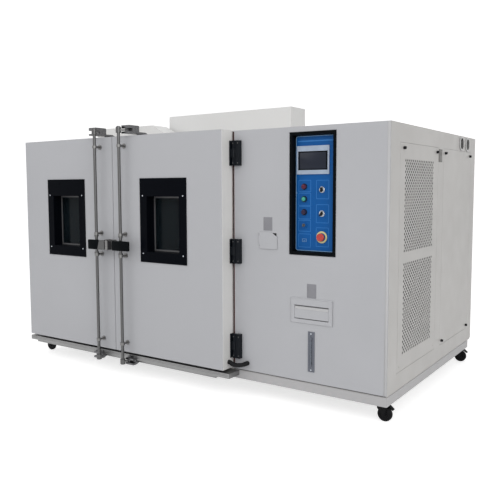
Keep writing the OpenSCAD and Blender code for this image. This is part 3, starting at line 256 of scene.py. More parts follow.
def opal(name, color):
    """Milky lamp glass."""
    s = Shader(name)
    s.color(s.mottle(s.noise(30.0), color, 0.95, 1.0))
    s.give(Subsurface_Weight=0.3, Subsurface_Scale=0.01)
    return s.material


def finishes(make, **table):
    """One material for each row, which holds what the making function takes after the name."""
    return {name: make(name, **values) for name, values in table.items()}


def look(*color, **values):
    """A row for those finishes that start from one colour."""
    return dict(color=color, **values)


DOOR_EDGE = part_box("right_door_leaf")[1].x - 0.0015
ALONG_RODS = (60.0, 60.0, 1.0)

MATERIALS = {
    **finishes(
        painted,
        front_paint=look(0.445, 0.450, 0.472),
        side_paint=look(0.465, 0.455, 0.443),
        panel_paint=look(0.50, 0.49, 0.475),
        roof_paint=look(0.73, 0.73, 0.725),
        frame_paint=look(0.445, 0.440, 0.448, rough=0.5),
        # Painted highlight: a lighter copy of the front paint, for the corner fold and the tray's lip.
        edge_paint=look(0.48, 0.48, 0.49),
        caster_black=look(0.006, 0.006, 0.007, rough=0.45, gloss=0.1, edge=0.001),
        hinge_black=look(0.004, 0.006, 0.009, rough=0.38, relief=0.2, edge=0.0015, gloss=0.15),
        black_metal=look(0.003, 0.004, 0.005, relief=0.25, edge=0.0015, gloss=0.03),
        black_gloss=look(0.0025, 0.0032, 0.0052, rough=0.3, relief=0.03, edge=0.001, gloss=0.02),
        blue_paint=look(0.004, 0.092, 0.325, rough=0.34, relief=0.05, edge=0.0006, tint=0.06,
                        gloss=0.15),
        blue_line=look(0.04, 0.20, 0.54, rough=0.4, relief=0.02, edge=0.0, gloss=0.15),
        pale_line=look(0.17, 0.32, 0.52, rough=0.4, relief=0.02, edge=0.0, gloss=0.2),
        # Dark grey: the key switch's and the pane strips' own colour, and painted shade in the tray's
        # slot, the sill's folds and the groove over the plinth.
        slot_grey=look(0.10, 0.10, 0.105, rough=0.5, relief=0.03, edge=0.0),
        plate_dark=look(0.085, 0.080, 0.072, rough=0.4, relief=0.1, edge=0.0004),
        gauge_paint=look(0.118, 0.128, 0.157, rough=0.36, relief=0.1, edge=0.001),
        tag_grey=look(0.225, 0.225, 0.245, rough=0.3, relief=0.03, edge=0.0004),
        screen_glass=look(0.009, 0.013, 0.026, rough=0.2, relief=0.0, edge=0.0, gloss=0.25),
        # Painted shade: near black for the sheets behind the vent holes.
        inner_dark=look(0.008, 0.009, 0.011, rough=0.7, edge=0.0, gloss=0.1)),
    **finishes(
        paint_lit_past_edge,
        # Painted light: the right door's edge face beside the machine is painted lighter than the door's
        # front.
        door_paint=look(0.447, 0.452, 0.474, edge_color=(0.66, 0.655, 0.645), edge=DOOR_EDGE)),
    **finishes(
        brushed,
        sill_steel=look(0.28, 0.28, 0.28, rough=0.42),
        stainless=look(0.60, 0.60, 0.595, rough=0.36, stretch=ALONG_RODS, tint=0.06),
        keeper_steel=look(0.145, 0.145, 0.15, rough=0.26, stretch=(1.0, 40.0, 40.0), tint=0.45),
        rod_steel=look(0.115, 0.115, 0.115, rough=0.30, stretch=ALONG_RODS, tint=0.2),
        fin_metal=look(0.42, 0.42, 0.42, rough=0.3),
        chrome_trim=look(0.55, 0.58, 0.62, rough=0.2, stretch=(20.0, 20.0, 20.0), tint=0.1)),
    **finishes(
        fitting,
        fitting_steel=dict(steel=(0.21, 0.207, 0.205), paint=(0.004, 0.006, 0.009), middle_x=-0.62,
                           reach=1.07)),
    **finishes(
        moulded,
        silver_plastic=look(0.36, 0.43, 0.54, rough=0.32, edge=0.001),
        black_plastic=look(0.006, 0.006, 0.008, gloss=0.2),
        red_plastic=look(0.46, 0.022, 0.014, rough=0.25, coat=0.3),
        red_lens=look(0.085, 0.008, 0.032, rough=0.2, gloss=0.3),
        dark_lens=look(0.022, 0.008, 0.040, rough=0.2, gloss=0.3),
        green_plastic=look(0.004, 0.12, 0.10, rough=0.25, gloss=0.3),
        green_lens=look(0.06, 0.36, 0.26, rough=0.2, gloss=0.3),
        yellow_plastic=look(0.66, 0.60, 0.27, rough=0.3, coat=0.2),
        black_rubber=look(0.010, 0.010, 0.011, rough=0.6, grain=500.0, relief=0.25, gloss=0.15),
        red_rubber=look(0.095, 0.020, 0.014, rough=0.55, grain=500.0, relief=0.2, gloss=0.2),
        caster_tyre=look(0.006, 0.006, 0.007, rough=0.55, grain=600.0, relief=0.2, gloss=0.1)),
    **finishes(
        glazing,
        window_glass=look(0.05, 0.078, 0.098, weight=0.9, rough=0.03, bend=1.15),
        gauge_glass=look(0.40, 0.44, 0.50, weight=0.7, rough=0.1, bend=1.2)),
    **finishes(opal, lamp_glass=look(0.85, 0.84, 0.80)),
}

SIDES = ("left", "right")
CASTERS = (1, 2, 3, 4)

NODE_FINISHES = {
    "front_paint": ["machine_front", "tray_frame", "water_tray", "socket_hatch", "left_door_leaf"],
    "door_paint": ["right_door_leaf"],
    "side_paint": ["machine_frame", "vent_panel", "service_panel", "machine_covers"],
    "panel_paint": ["chamber_panels"],
    "roof_paint": ["roof_covers"],
    "frame_paint": ["base_frame"],
    "sill_steel": ["door_sill"],
    "stainless": ["chamber_liner", "air_baffle", "side_ports"],
    "keeper_steel": ["lock_keepers"],
    "fitting_steel": [side + "_door_fittings" for side in SIDES],
    "rod_steel": [side + "_lock" for side in SIDES],
    "fin_metal": ["evaporator_coil", "condenser", "circulation_fan_1", "circulation_fan_2"],
    "hinge_black": ["hinge_blocks"],
    "black_metal": ["control_frame", "compressors", *(f"caster_pedal_{number}" for number in CASTERS)],
    "black_gloss": [side + "_window_bezel" for side in SIDES],
    "window_glass": [side + "_window_pane" for side in SIDES],
    "red_rubber": [side + "_door_gasket" for side in SIDES],
    "blue_paint": ["control_plate"],
    "silver_plastic": ["touch_screen"],
    "black_plastic": ["panel_knobs", "upper_selector", "lower_selector", "condenser_fan"],
    "gauge_paint": ["level_gauge"],
    "red_lens": ["red_button"],
    "green_plastic": ["green_button"],
    "dark_lens": ["dark_button"],
    "slot_grey": ["key_switch"],
    "red_plastic": ["emergency_stop"],
    "caster_black": [f"caster_fork_{number}" for number in CASTERS],
    "caster_tyre": [f"caster_wheel_{number}" for number in CASTERS],
}


def dress_nodes():
    for finish, nodes in NODE_FINISHES.items():
        for node in nodes:
            for item in frame["nodes"][node].material_slots:
                item.link = "OBJECT"
                item.material = MATERIALS[finish]


# Shapes. A ring is a list of points; a form is lofted through its rings.

SMOOTH_ANGLE = 35.0


def loft(mesh, rings, closed=False):
    """Joins rings of points to a tube, capped at both ends or closed on itself."""
    made = [[mesh.verts.new(point) for point in ring] for ring in rings]
    pairs = list(zip(made, made[1:]))
    if closed:
        pairs.append((made[-1], made[0]))
    for first, second in pairs:
        count = len(first)
        for i in range(count):
            mesh.faces.new((first[i], first[(i + 1) % count], second[(i + 1) % count], second[i]))
    if not closed:
        mesh.faces.new(list(reversed(made[0])))
        mesh.faces.new(made[-1])


def rounded(width, height, radius, steps=5):
    """Corner points of a rectangle with round corners, about its middle."""
    radius = min(radius, width / 2 - 0.01, height / 2 - 0.01)
    points = []
    for quarter, (sx, sz) in enumerate(((1, 1), (-1, 1), (-1, -1), (1, -1))):
        cx, cz = sx * (width / 2 - radius), sz * (height / 2 - radius)
        for i in range(steps + 1):
            angle = math.radians(90 * (quarter + i / steps))
            points.append((cx + radius * math.cos(angle), cz + radius * math.sin(angle)))
    return points


def facing_front(x, z):
    """Turns an outline and a depth into points that face the doors' side."""
    return lambda points, depth: [at(x + u, depth, z + v) for u, v in points]


def facing_side(y, z):
    """Turns an outline and a depth into points that face the machine's right side."""
    return lambda points, depth: [at(depth, y + u, z + v) for u, v in points]


def facing_up(x, y):
    """Turns an outline and a height into level points."""
    return lambda points, depth: [at(x + u, y + v, depth) for u, v in points]


def plate(mesh, place, width, height, back, front, radius=2.0, soft=0.6):
    """A slab with round corners and a softened front edge."""
    way = 1 if front > back else -1
    steps = ((0.0, back), (0.0, front - way * soft), (0.3, front - way * 0.3 * soft), (1.0, front))
    loft(mesh, [place(rounded(width - 2 * inset * soft, height - 2 * inset * soft, radius - inset * soft),
                      depth) for inset, depth in steps])


def front_plate(mesh, x_limits, z_limits, back, front, radius, soft):
    """A slab that faces the doors' side, between two places along x and two heights."""
    (left, right), (bottom, top) = x_limits, z_limits
    plate(mesh, facing_front((left + right) / 2, (bottom + top) / 2), right - left, top - bottom,
          back, front, radius, soft)


def hollow(mesh, place, outer, inner, back, front):
    """A flat band between two outlines."""
    loft(mesh, [place(outer, back), place(outer, front), place(inner, front), place(inner, back)],
         closed=True)


def border(mesh, place, width, height, line, back, front, radius=3.0):
    """A flat band that runs round a rectangle with round corners."""
    inner = rounded(width - 2 * line, height - 2 * line, max(radius - line, 0.3))
    hollow(mesh, place, rounded(width, height, radius), inner, back, front)


def circle(radius, count=32):
    angles = [2 * math.pi * i / count for i in range(count)]
    return [(radius * math.cos(angle), radius * math.sin(angle)) for angle in angles]


def turned(mesh, place, profile, count=32, closed=False):
    """A turned form; its profile is a list of radius and depth."""
    loft(mesh, [place(circle(max(radius, 0.01), count), depth) for radius, depth in profile], closed)


def smooth_route(points, parts=6):
    """A smooth curve through given points."""
    ends = [2 * points[0] - points[1]] + list(points) + [2 * points[-1] - points[-2]]
    route = []
    for a, b, c, d in zip(ends, ends[1:], ends[2:], ends[3:]):
        for i in range(parts):
            t = i / parts
            route.append(0.5 * (2 * b + (c - a) * t + (2 * a - 5 * b + 4 * c - d) * t * t
                                + (3 * b - a - 3 * c + d) * t ** 3))
    route.append(points[-1])
    return route


def hand_over(obj, material, body, smooth):
    """Soft shading between hard edges, and the body that carries it; the finish is not used."""
    data = obj.data
    data.polygons.foreach_set("use_smooth", [True] * len(data.polygons))
    data.set_sharp_from_angle(angle=math.radians(smooth))
    if body:
        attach(obj, body)
    return obj


def piece(name, material, body, draw):
    """One object of the scene, drawn into a fresh mesh and carried by a body."""
    mesh = bmesh.new()
    draw(mesh)
    bmesh.ops.recalc_face_normals(mesh, faces=mesh.faces)
    data = bpy.data.meshes.new(name)
    mesh.to_mesh(data)
    mesh.free()
    data.materials.append(MATERIALS[material])
    obj = bpy.data.objects.new(name, data)
    bpy.context.collection.objects.link(obj)
    return hand_over(obj, material, body, SMOOTH_ANGLE)


def slab(name, material, body, place, *sizes):
    """A plate as a piece of its own."""
    piece(name, material, body, lambda mesh: plate(mesh, place, *sizes))


def turning(name, material, body, place, profile, count, closed=False):
    """A turned form as a piece of its own."""
    piece(name, material, body, lambda mesh: turned(mesh, place, profile, count, closed))


def strip(name, material, x_limits, z_limits, *depths):
    """A plate on the front as a piece of its own."""
    piece(name, material, "chamber", lambda mesh: front_plate(mesh, x_limits, z_limits, *depths))


# Repeated shapes. Each geometry tree takes places or a path as its input, has named inputs for
# its sizes in metres, and ends in real faces of one material.

SOCKET_KINDS = {int: "NodeSocketInt", float: "NodeSocketFloat", tuple: "NodeSocketVector"}
ZERO = (0.0, 0.0, 0.0)


class Growth:
    """A geometry tree with named sizes."""

    def __init__(self, name, **sizes):
        self.tree = bpy.data.node_groups.new(name, "GeometryNodeTree")
        make = self.tree.interface.new_socket
        make("Places", in_out="INPUT", socket_type="NodeSocketGeometry")
        self.identifiers = {}
        for label, value in sizes.items():
            kind = SOCKET_KINDS[type(value)]
            socket = make(label.replace("_", " ").title(), in_out="INPUT", socket_type=kind)
            socket.default_value = value
            self.identifiers[label] = socket.identifier
        finish = make("Finish", in_out="INPUT", socket_type="NodeSocketMaterial")
        self.identifiers["finish"] = finish.identifier
        make("Faces", in_out="OUTPUT", socket_type="NodeSocketGeometry")
        self.start = self.tree.nodes.new("NodeGroupInput")

    def size(self, label):
        return self.start.outputs[label.replace("_", " ").title()]

    def add(self, kind, inputs, **settings):
        """Adds a node; an input that is given as text takes the tree's size of that name."""
        given = {key: self.size(value) if isinstance(value, str) else value
                 for key, value in inputs.items()}
        return add_node(self.tree, kind, given, **settings).outputs

    def math(self, operation, a, b):
        return self.add("ShaderNodeMath", {0: a, 1: b}, operation=operation)[0]

    def times(self, value, factor):
        return self.math("MULTIPLY", value, factor)

    def vector(self, x=0.0, y=0.0, z=0.0):
        return self.add("ShaderNodeCombineXYZ", {"X": x, "Y": y, "Z": z})[0]

    def gather(self, *parts):
        joined = self.add("GeometryNodeJoinGeometry", {})[0]
        for part in parts:
            self.tree.links.new(part, joined.node.inputs[0])
        return joined

    def move(self, geometry, way):
        return self.add("GeometryNodeTransform", {"Geometry": geometry, "Translation": way})[0]

    def set_on(self, points, form, turn=ZERO):
        return self.add("GeometryNodeInstanceOnPoints", {
            "Points": points, "Instance": form, "Rotation": turn})[0]

    def set_on_places(self, form):
        """Sets a form on every place, turned to face the way that the tree's Facing gives."""
        return self.set_on("places", form, "facing")

    def realize(self, geometry):
        return self.add("GeometryNodeRealizeInstances", {"Geometry": geometry})[0]

    def rise(self, face, height, steps):
        """Pushes a flat face up in steps; each gives a share of the height and how the top narrows."""
        mesh, top = face, True
        for share, narrow in steps:
            raised = self.add("GeometryNodeExtrudeMesh", {
                "Mesh": mesh, "Selection": top, "Offset Scale": self.times(height, share),
                "Individual": False})
            top = raised["Top"]
            mesh = self.add("GeometryNodeScaleElements", {
                "Geometry": raised["Mesh"], "Selection": top, "Scale": narrow})[0]
        under = self.add("GeometryNodeFlipFaces", {"Mesh": face})[0]
        both = self.gather(mesh, under)
        return self.add("GeometryNodeMergeByDistance", {"Geometry": both, "Distance": 1e-6})[0]

    def close(self, geometry):
        done = self.add("GeometryNodeSetMaterial", {
            "Geometry": self.realize(geometry), "Material": "finish"})[0]
        end = self.tree.nodes.new("NodeGroupOutput")
        self.tree.links.new(done, end.inputs["Faces"])
        return self


def screw_heads():
    """Domed heads with a recess, each turned by chance about its own axis."""
    growth = Growth("screw_heads", radius=0.005, height=0.0024, sides=14, facing=ZERO, seed=3)
    disc = growth.add("GeometryNodeMeshCircle", {
        "Vertices": "sides", "Radius": "radius"}, fill_type="NGON")[0]
    head = growth.rise(disc, "height", (
        (0.35, 1.0), (0.4, 0.88), (0.25, 0.75), (0.02, 0.72), (-0.6, 0.94)))
    heads = growth.set_on_places(head)
    turn = growth.add("FunctionNodeRandomValue", {2: 0.0, 3: 1.0, "Seed": "seed"},
                      data_type="FLOAT")[1]
    return growth.close(growth.add("GeometryNodeRotateInstances", {
        "Instances": heads, "Rotation": growth.vector(z=turn), "Local Space": True})[0])


def fluted_knobs():
    """Knobs with a fluted grip and a dished top."""
    growth = Growth("fluted_knobs", radius=0.0115, height=0.017, flutes=14, facing=ZERO)
    star = growth.add("GeometryNodeCurveStar", {
        "Points": "flutes", "Inner Radius": growth.times("radius", 0.9),
        "Outer Radius": "radius"})[0]
    face = growth.add("GeometryNodeFillCurve", {"Curve": star}, mode="NGONS")[0]
    knob = growth.rise(face, "height", (
        (0.12, 0.94), (0.05, 1.06), (0.68, 0.98), (0.1, 0.9), (0.05, 0.78), (-0.06, 0.85)))
    return growth.close(growth.set_on_places(knob))


def plate_rows():
    """Rows of thin plates, such as the blades behind slots."""
    growth = Growth("plate_rows", count=10, step=(0.0, 0.0, 0.01), plate=(0.01, 0.001, 0.001),
                    tilt=ZERO, facing=ZERO)
    row = growth.add("GeometryNodeMeshLine", {
        "Count": "count", "Offset": "step"})[0]
    box = growth.add("GeometryNodeMeshCube", {"Size": "plate"})[0]
    half = growth.add("ShaderNodeVectorMath", {0: "plate", 1: (0.5, 0.0, 0.0)},
                      operation="MULTIPLY")[0]
    plates = growth.set_on(row, growth.move(box, half), "tilt")
    return growth.close(growth.set_on_places(plates))


def perforated_sheets():
    """Sheet with two fields of holes in staggered rows; its lower corner sits on the place."""
    growth = Growth("perforated_sheets", wide=1.0, high=1.0, thick=0.002, hole=0.006, pitch=0.038,
                    row=0.019, across=16, rows=17, inset=0.1, lower=0.1, upper=0.8, facing=ZERO)
    shift = growth.vector(growth.times("row", -1.0), growth.times("pitch", 0.5))
    along = growth.vector(y="pitch")
    upward = growth.vector(growth.times("row", -2.0))
    grids = []
    for fewer, start in ((0.0, ZERO), (1.0, shift)):
        line = growth.add("GeometryNodeMeshLine", {
            "Count": growth.math("SUBTRACT", "across", fewer),
            "Start Location": start, "Offset": along})[0]
        column = growth.add("GeometryNodeMeshLine", {
            "Count": growth.math("SUBTRACT", "rows", fewer), "Offset": upward})[0]
        grids.append(growth.realize(growth.set_on(column, line)))
    field = growth.gather(*grids)
    fields = growth.gather(*(
        growth.move(field, growth.vector(growth.times(height, -1.0), "inset"))
        for height in ("lower", "upper")))
    rim = growth.add("GeometryNodeCurvePrimitiveCircle", {
        "Resolution": 12, "Radius": "hole"})[0]
    outline = growth.add("GeometryNodeCurvePrimitiveQuadrilateral", {"Width": "high", "Height": "wide"})[0]
    outline = growth.move(outline, growth.vector(growth.times("high", -0.5), growth.times("wide", 0.5)))
    curves = growth.gather(outline, growth.realize(growth.set_on(fields, rim)))
    face = growth.add("GeometryNodeFillCurve", {"Curve": curves}, mode="TRIANGLES")[0]
    return growth.close(growth.set_on_places(growth.rise(face, "thick", ((1.0, 1.0),))))


def ribbed_conduits():
    """Corrugated tube along a path, with round ribs at an even pitch."""
    growth = Growth("ribbed_conduits", radius=0.017, rib_depth=0.0016, rib_pitch=0.005, sides=24)
    path = growth.add("GeometryNodeMeshToCurve", {"Mesh": "places"})[0]
    path = growth.add("GeometryNodeResampleCurve", {
        "Curve": path, "Length": growth.times("rib_pitch", 0.25)}, mode="LENGTH")[0]
    index = growth.add("GeometryNodeInputIndex", {})[0]
    wave = growth.math("COSINE", growth.times(index, math.pi / 2), 0.0)
    dip = growth.times(growth.math("SUBTRACT", 1.0, wave), 0.5)
    share = growth.math("DIVIDE", "rib_depth", "radius")
    scale = growth.math("SUBTRACT", 1.0, growth.times(dip, share))
    ring = growth.add("GeometryNodeCurvePrimitiveCircle", {
        "Resolution": "sides", "Radius": "radius"})[0]
    return growth.close(growth.add("GeometryNodeCurveToMesh", {
        "Curve": path, "Profile Curve": ring, "Scale": scale, "Fill Caps": True})[0])


def door_seals():
    """Seal round a door: a flat foot with two bulbs, swept along the door's edge."""
    growth = Growth("door_seals", width=0.026, depth=0.0077, corner=0.02)
    path = growth.add("GeometryNodeMeshToCurve", {"Mesh": "places"})[0]
    path = growth.add("GeometryNodeFilletCurve", {
        "Curve": path, "Radius": "corner", "Count": 4}, mode="POLY")[0]
    path = growth.add("GeometryNodeSetCurveNormal", {
        "Curve": path, "Normal": (0.0, 1.0, 0.0)}, mode="FREE")[0]
    foot = (0.0, 1.0, 0.36, 0.32)
    bulbs = ((-0.27, 0.42, 0.8, -0.1), (0.27, 0.42, 0.8, -0.1))
    bands = []
    for aside, wide, deep, back in (foot, *bulbs):
        band = growth.add("GeometryNodeCurvePrimitiveQuadrilateral", {
            "Width": growth.times("depth", deep), "Height": growth.times("width", wide)})[0]
        band = growth.add("GeometryNodeFilletCurve", {
            "Curve": band, "Count": 4, "Limit Radius": True,
            "Radius": growth.times("depth", deep * 0.48)}, mode="POLY")[0]
        shift = growth.vector(growth.times("depth", back), growth.times("width", aside))
        bands.append(growth.move(band, shift))
    return growth.close(growth.add("GeometryNodeCurveToMesh", {
        "Curve": path, "Profile Curve": growth.gather(*bands)})[0])


QUARTER = math.pi / 2
FACING = {"front": (QUARTER, 0.0, 0.0), "side": (0.0, QUARTER, 0.0), "up": ZERO,
          "down": (2 * QUARTER, 0.0, 0.0)}


def grow(name, growth, material, body, points, edges=(), smooth=SMOOTH_ANGLE, **sizes):
    """Turns places into one plain mesh through a geometry tree, carried by a body."""
    places = bpy.data.meshes.new(name)
    places.from_pydata([tuple(point) for point in points], list(edges), [])
    obj = bpy.data.objects.new(name, places)
    bpy.context.collection.objects.link(obj)
    modifier = obj.modifiers.new("growth", "NODES")
    modifier.node_group = growth.tree
    modifier[growth.identifiers["finish"]] = MATERIALS[material]
    for label, value in sizes.items():
        modifier[growth.identifiers[label]] = value
    grown = obj.evaluated_get(bpy.context.evaluated_depsgraph_get())
    mesh = bpy.data.meshes.new_from_object(grown)
    obj.modifiers.remove(modifier)
    obj.data = mesh
    return hand_over(obj, material, body, smooth)


SCREWS = screw_heads()
KNOBS = fluted_knobs()
ROWS = plate_rows()
SHEETS = perforated_sheets()
CONDUITS = ribbed_conduits()
SEALS = door_seals()


def heads(name, material, body, facing, places, radius=5.0, height=2.4, sides=14):
    """Screw heads on places given in millimetres from the machine's corner."""
    return grow(name, SCREWS, material, body, [at(*place) for place in places], radius=radius * MM,
                height=height * MM, sides=sides, facing=FACING[facing])


# Doors

DOOR_FACE = -138.0
BEZEL_FACE = DOOR_FACE - 6.0
SEAM = -1214.0
BODY_TOP = 1977.0
WINDOW_SCREW_OUT = 38
PAN_ENDS = (-3339.0, -1322.0)
PAN_HEIGHTS = (295.3, 1869.0)
PAN_IN = 30.0
HINGE_LEVELS = (376, 1090, 1812)
HINGE_SCREW_OUT = 72
SEAL_HEIGHTS = (207, 1970)
LEVER_STOP = -2298.5
LEVER_HALF = 39.0
SLEEVE_BACK = 57.0
SLEEVE_REACH = {"left": 63.0, "right": 125.0}
SLEEVE_SLANT = {"left": 0.28, "right": 0.0}


def dress_window(side):
    """Screws of a window's frame, and the strips that hold its pane from both sides."""
    low, high = span(side + "_window_pane")
    centre = (low + high) / 2
    width, height = high.x - low.x, high.z - low.z
    place = facing_front(centre.x, centre.z)
    body = side + "_door"
    screw_out = width / 2 + WINDOW_SCREW_OUT
    heads(side + "_window_screws", "chrome_trim", body, "front",
          [(centre.x + way * screw_out, BEZEL_FACE - 2, level) for way in (-1, 1)
           for level in (low.z - 11, high.z + 2)], 5.6, 2.2)
    piece(side + "_pane_strip", "slot_grey", body,
          lambda mesh: border(mesh, place, width - 8, height - 8, 13, low.y - 0.05, low.y - 3.2, 6))
    piece(side + "_pane_inner_strip", "stainless", body,
          lambda mesh: border(mesh, place, width - 2, height - 2, 16, high.y + 0.05, high.y + 3, 6))


def dress_pan(side):
    """Stainless skin over the inner pan of a door leaf, open at the window."""
    low, high = span(side + "_door_leaf")
    pane_low, pane_high = span(side + "_window_pane")
    left = PAN_ENDS[0] if side == "left" else low.x + PAN_IN
    right = high.x - PAN_IN if side == "left" else PAN_ENDS[1]
    bottom, top = PAN_HEIGHTS
    x, z = (left + right) / 2, (bottom + top) / 2
    window = (pane_low + pane_high) / 2

    def skin(mesh):
        hole = rounded(pane_high.x - pane_low.x, pane_high.z - pane_low.z, 3)
        outer = rounded(right - left - 1, top - bottom - 1, 4)
        inner = [(u + window.x - x, v + window.z - z) for u, v in hole]
        hollow(mesh, facing_front(x, z), outer, inner, high.y + 0.02, high.y + 1.2)

    piece(side + "_pan_skin", "stainless", side + "_door", skin)


def dress_lock(side):
    """Black sleeve on the hand lever; the left lever's end stays bare steel beyond a slanted edge."""
    turn = joint_place(side + "_lock_turn")
    low, high = span(side + "_lock")
    reach, slant = SLEEVE_REACH[side], SLEEVE_SLANT[side]
    outline = facing_front(turn.x + (reach - SLEEVE_BACK) / 2, turn.z)

    def slanted(points, depth):
        return outline([(u + slant * v if u > 0 else u, v) for u, v in points], depth)

    slab(side + "_lever_sleeve", "black_metal", side + "_lock", slanted,
         reach + SLEEVE_BACK + 0.6, 2 * LEVER_HALF + 0.6, low.y + 16.25, low.y - 1.2, 9, 2.0)
    turning(side + "_rod_cap", "rod_steel", side + "_lock", facing_up(turn.x, turn.y),
            [(12.45, high.z - 0.2), (12.4, high.z - 0.05), (9, high.z - 0.02)], 24)


def dress_hinges():
    """Screws on the hinges beside the machine, and the two seal strips along the seam."""
    pin = joint_place("right_door_hinge")
    levels = [z + dz for z in HINGE_LEVELS for dz in (-HINGE_SCREW_OUT, HINGE_SCREW_OUT)]
    for name, x, y, radius, height in (("hinge_screws", pin.x + 42, -36, 5.2, 2.4),
                                       ("knuckle_screws", pin.x, pin.y - 14, 4.6, 1.6)):
        heads(name, "rod_steel", "chamber", "front", [(x, y, z) for z in levels], radius, height)
    strip("seal_strip", "black_rubber", (SEAM + 0.2, SEAM + 6.6), SEAL_HEIGHTS, 0, -2.2, 1.5, 0.6)
    strip("seal_lip", "red_rubber", (SEAM + 6.6, SEAM + 10.6), SEAL_HEIGHTS, 0, -1.4, 1.0, 0.4)


def dress_lever_stop():
    """Rubber pad on the bracket that the left lever's end comes to."""
    stop = joint_place("left_lock_turn")
    slab("lever_stop_pad", "black_rubber", "right_door", facing_front(LEVER_STOP + 14, stop.z),
         27, 66, -229.5, -240.5, 2, 1.0)


def dress_sill():
    """Painted shade: dark grey lines along the folds of the sill's front."""
    low, high = span("door_sill")

    def fold_shades(mesh):
        for over, under in ((8.1, 9.9), (18.2, 19.8)):
            front_plate(mesh, (low.x + 12, high.x - 12), (high.z - under, high.z - over),
                        low.y, low.y - 0.5, 0.7, 0.1)

    piece("sill_fold_shades", "slot_grey", "chamber", fold_shades)


# Each place gives its distance along x from the seam, then its depth and height.
CONDUIT_ROUTE = (
    (-2.6, -66, 256), (10, -66, 256), (24, -70, 252), (42, -75, 247), (64, -75, 245),
    (86, -68, 245), (106, -54, 247), (120, -36, 250), (126, -16, 252), (126, -0.4, 252),
)


def dress_conduit():
    """Corrugated conduit along a fixed route from the right door to the machine front."""
    points = [at(SEAM + x, y, z) for x, y, z in CONDUIT_ROUTE]
    route = smooth_route(points)
    conduit = grow("conduit", CONDUITS, "black_rubber", None, route,
                   [(i, i + 1) for i in range(len(route) - 1)], 60.0)
    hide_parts("door_conduit")
    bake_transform(conduit)


# Control panel

LEFT_COLUMN = -638.0
RIGHT_COLUMN = -501.0
PLATE_FACE = 42.3
FRAME_LINE = 22.0
BOX_WIDTH = 97
LEFT_BOXES = ((1611, 1528), (1521, 1433), (1429, 1339), (1333, 1253), (1237, 1142))
RIGHT_BOXES = ((1610, 1480), (1443, 1315), (1284, 1151))
TITLE_LEVEL = 1878
SCREW_LEVEL = 1521
DATA_PORT_LEVEL = 1191
LENSES = {"red_button": "red_lens", "green_button": "green_lens", "dark_button": "dark_lens"}


def ring_round(node, name, material, body, profile, count=40):
    """A ring round a control; its profile is a list of radius and height over the switch plate."""
    centre = middle(node)
    depths = [(radius, PLATE_FACE - rise) for radius, rise in profile]
    turning(name, material, body, facing_front(centre.x, centre.z), depths, count, closed=True)


def dress_plate():
    """Lines printed on the switch plate, its black corners that stand for the frame's recess walls and,
    partly, painted shade, and its two screws.
    """
    low, high = span("control_frame")
    width = high.x - low.x - 2 * FRAME_LINE
    height = high.z - low.z - 2 * FRAME_LINE
    x = (low.x + high.x) / 2
    centre = facing_front(x, (low.z + high.z) / 2)

    # Black band round the plate's edge: partly the black recess walls, partly painted shade.
    def corners(mesh):
        outer = rounded(width - 0.2, height - 0.2, 1)
        inner = rounded(width - 9, height - 9, 16)
        hollow(mesh, centre, outer, inner, PLATE_FACE - 0.02, PLATE_FACE - 1)

    def edge_line(mesh):
        border(mesh, centre, width - 9, height - 9, 5, PLATE_FACE - 0.02, PLATE_FACE - 0.5, 16)

    def boxes(mesh):
        for column, rows in ((LEFT_COLUMN + 2.5, LEFT_BOXES), (RIGHT_COLUMN + 3.5, RIGHT_BOXES)):
            for top, bottom in rows:
                border(mesh, facing_front(column, (top + bottom) / 2), BOX_WIDTH, top - bottom, 3.2,
                       PLATE_FACE - 0.02, PLATE_FACE - 0.35, 4)

    piece("control_corners_and_shade", "black_metal", "chamber", corners)
    piece("control_edge_line", "pale_line", "chamber", edge_line)
    piece("control_boxes", "blue_line", "chamber", boxes)
    slab("control_title_line", "blue_line", "chamber", facing_front(x, TITLE_LEVEL), width - 40, 9,
         PLATE_FACE, PLATE_FACE - 0.4, 2, 0.2)
    heads("control_screws", "pale_line", "chamber", "front",
          [(x + way * (width / 2 - 9), PLATE_FACE, SCREW_LEVEL) for way in (-1, 1)], 5.4, 2.0)


def dress_collar(node, material, bore):
    """Collar that holds a control in the switch plate."""
    outside, inside = 21.6, 21.05
    ring_round(node, node + "_collar", material, "chamber", [
        (bore, 4.3), (bore, 5.9), (outside - 1.3, 6.1), (outside, 4.8), (outside, 0.05),
        (inside, 0.05), (inside, 4.3)])


def dress_switches():
    """Collars and lenses of the buttons, rings of the selectors and the emergency stop's ring."""
    for node, lens in LENSES.items():
        centre = middle(node)
        front = span(node)[0].y
        dome = [(12.5, front - 0.02), (12.5, front - 1.2), (9.5, front - 2.3), (4.0, front - 2.9),
                (0.5, front - 3.0)]
        dress_collar(node, "black_plastic", 17.2)
        turning(node + "_lens", lens, node, facing_front(centre.x, centre.z), dome, 32)
    for node in ("upper_selector", "lower_selector"):
        dress_collar(node, "chrome_trim", 17.4)
        ring_round(node, node + "_ring", "chrome_trim", node, [
            (17.3, 5.8), (17.3, 10.4), (15.4, 12.2), (11.5, 12.2), (10.0, 11.65), (10.0, 11.2),
            (16.9, 11.2), (16.9, 5.8)])
    ring_round("emergency_stop", "stop_ring", "yellow_plastic", "chamber", [
        (29.5, 3.4), (29.5, 4.1), (39.2, 4.1), (41.5, 3.1), (41.5, 0.05), (41.05, 0.05),
        (41.05, 3.4)], 48)


def dress_data_port():
    """Closed data port under the key switch."""
    x = LEFT_COLUMN + 2

    def port(mesh):
        border(mesh, facing_front(x, DATA_PORT_LEVEL), 34, 22, 2.4, PLATE_FACE, PLATE_FACE - 2.2, 3)
        plate(mesh, facing_front(x, DATA_PORT_LEVEL - 2), 14, 3, PLATE_FACE, PLATE_FACE - 1.6, 1, 0.3)

    piece("data_port", "pale_line", "chamber", port)
    slab("data_port_mouth", "blue_paint", "chamber", facing_front(x, DATA_PORT_LEVEL), 29, 17,
         PLATE_FACE, PLATE_FACE - 0.6, 2, 0.2)


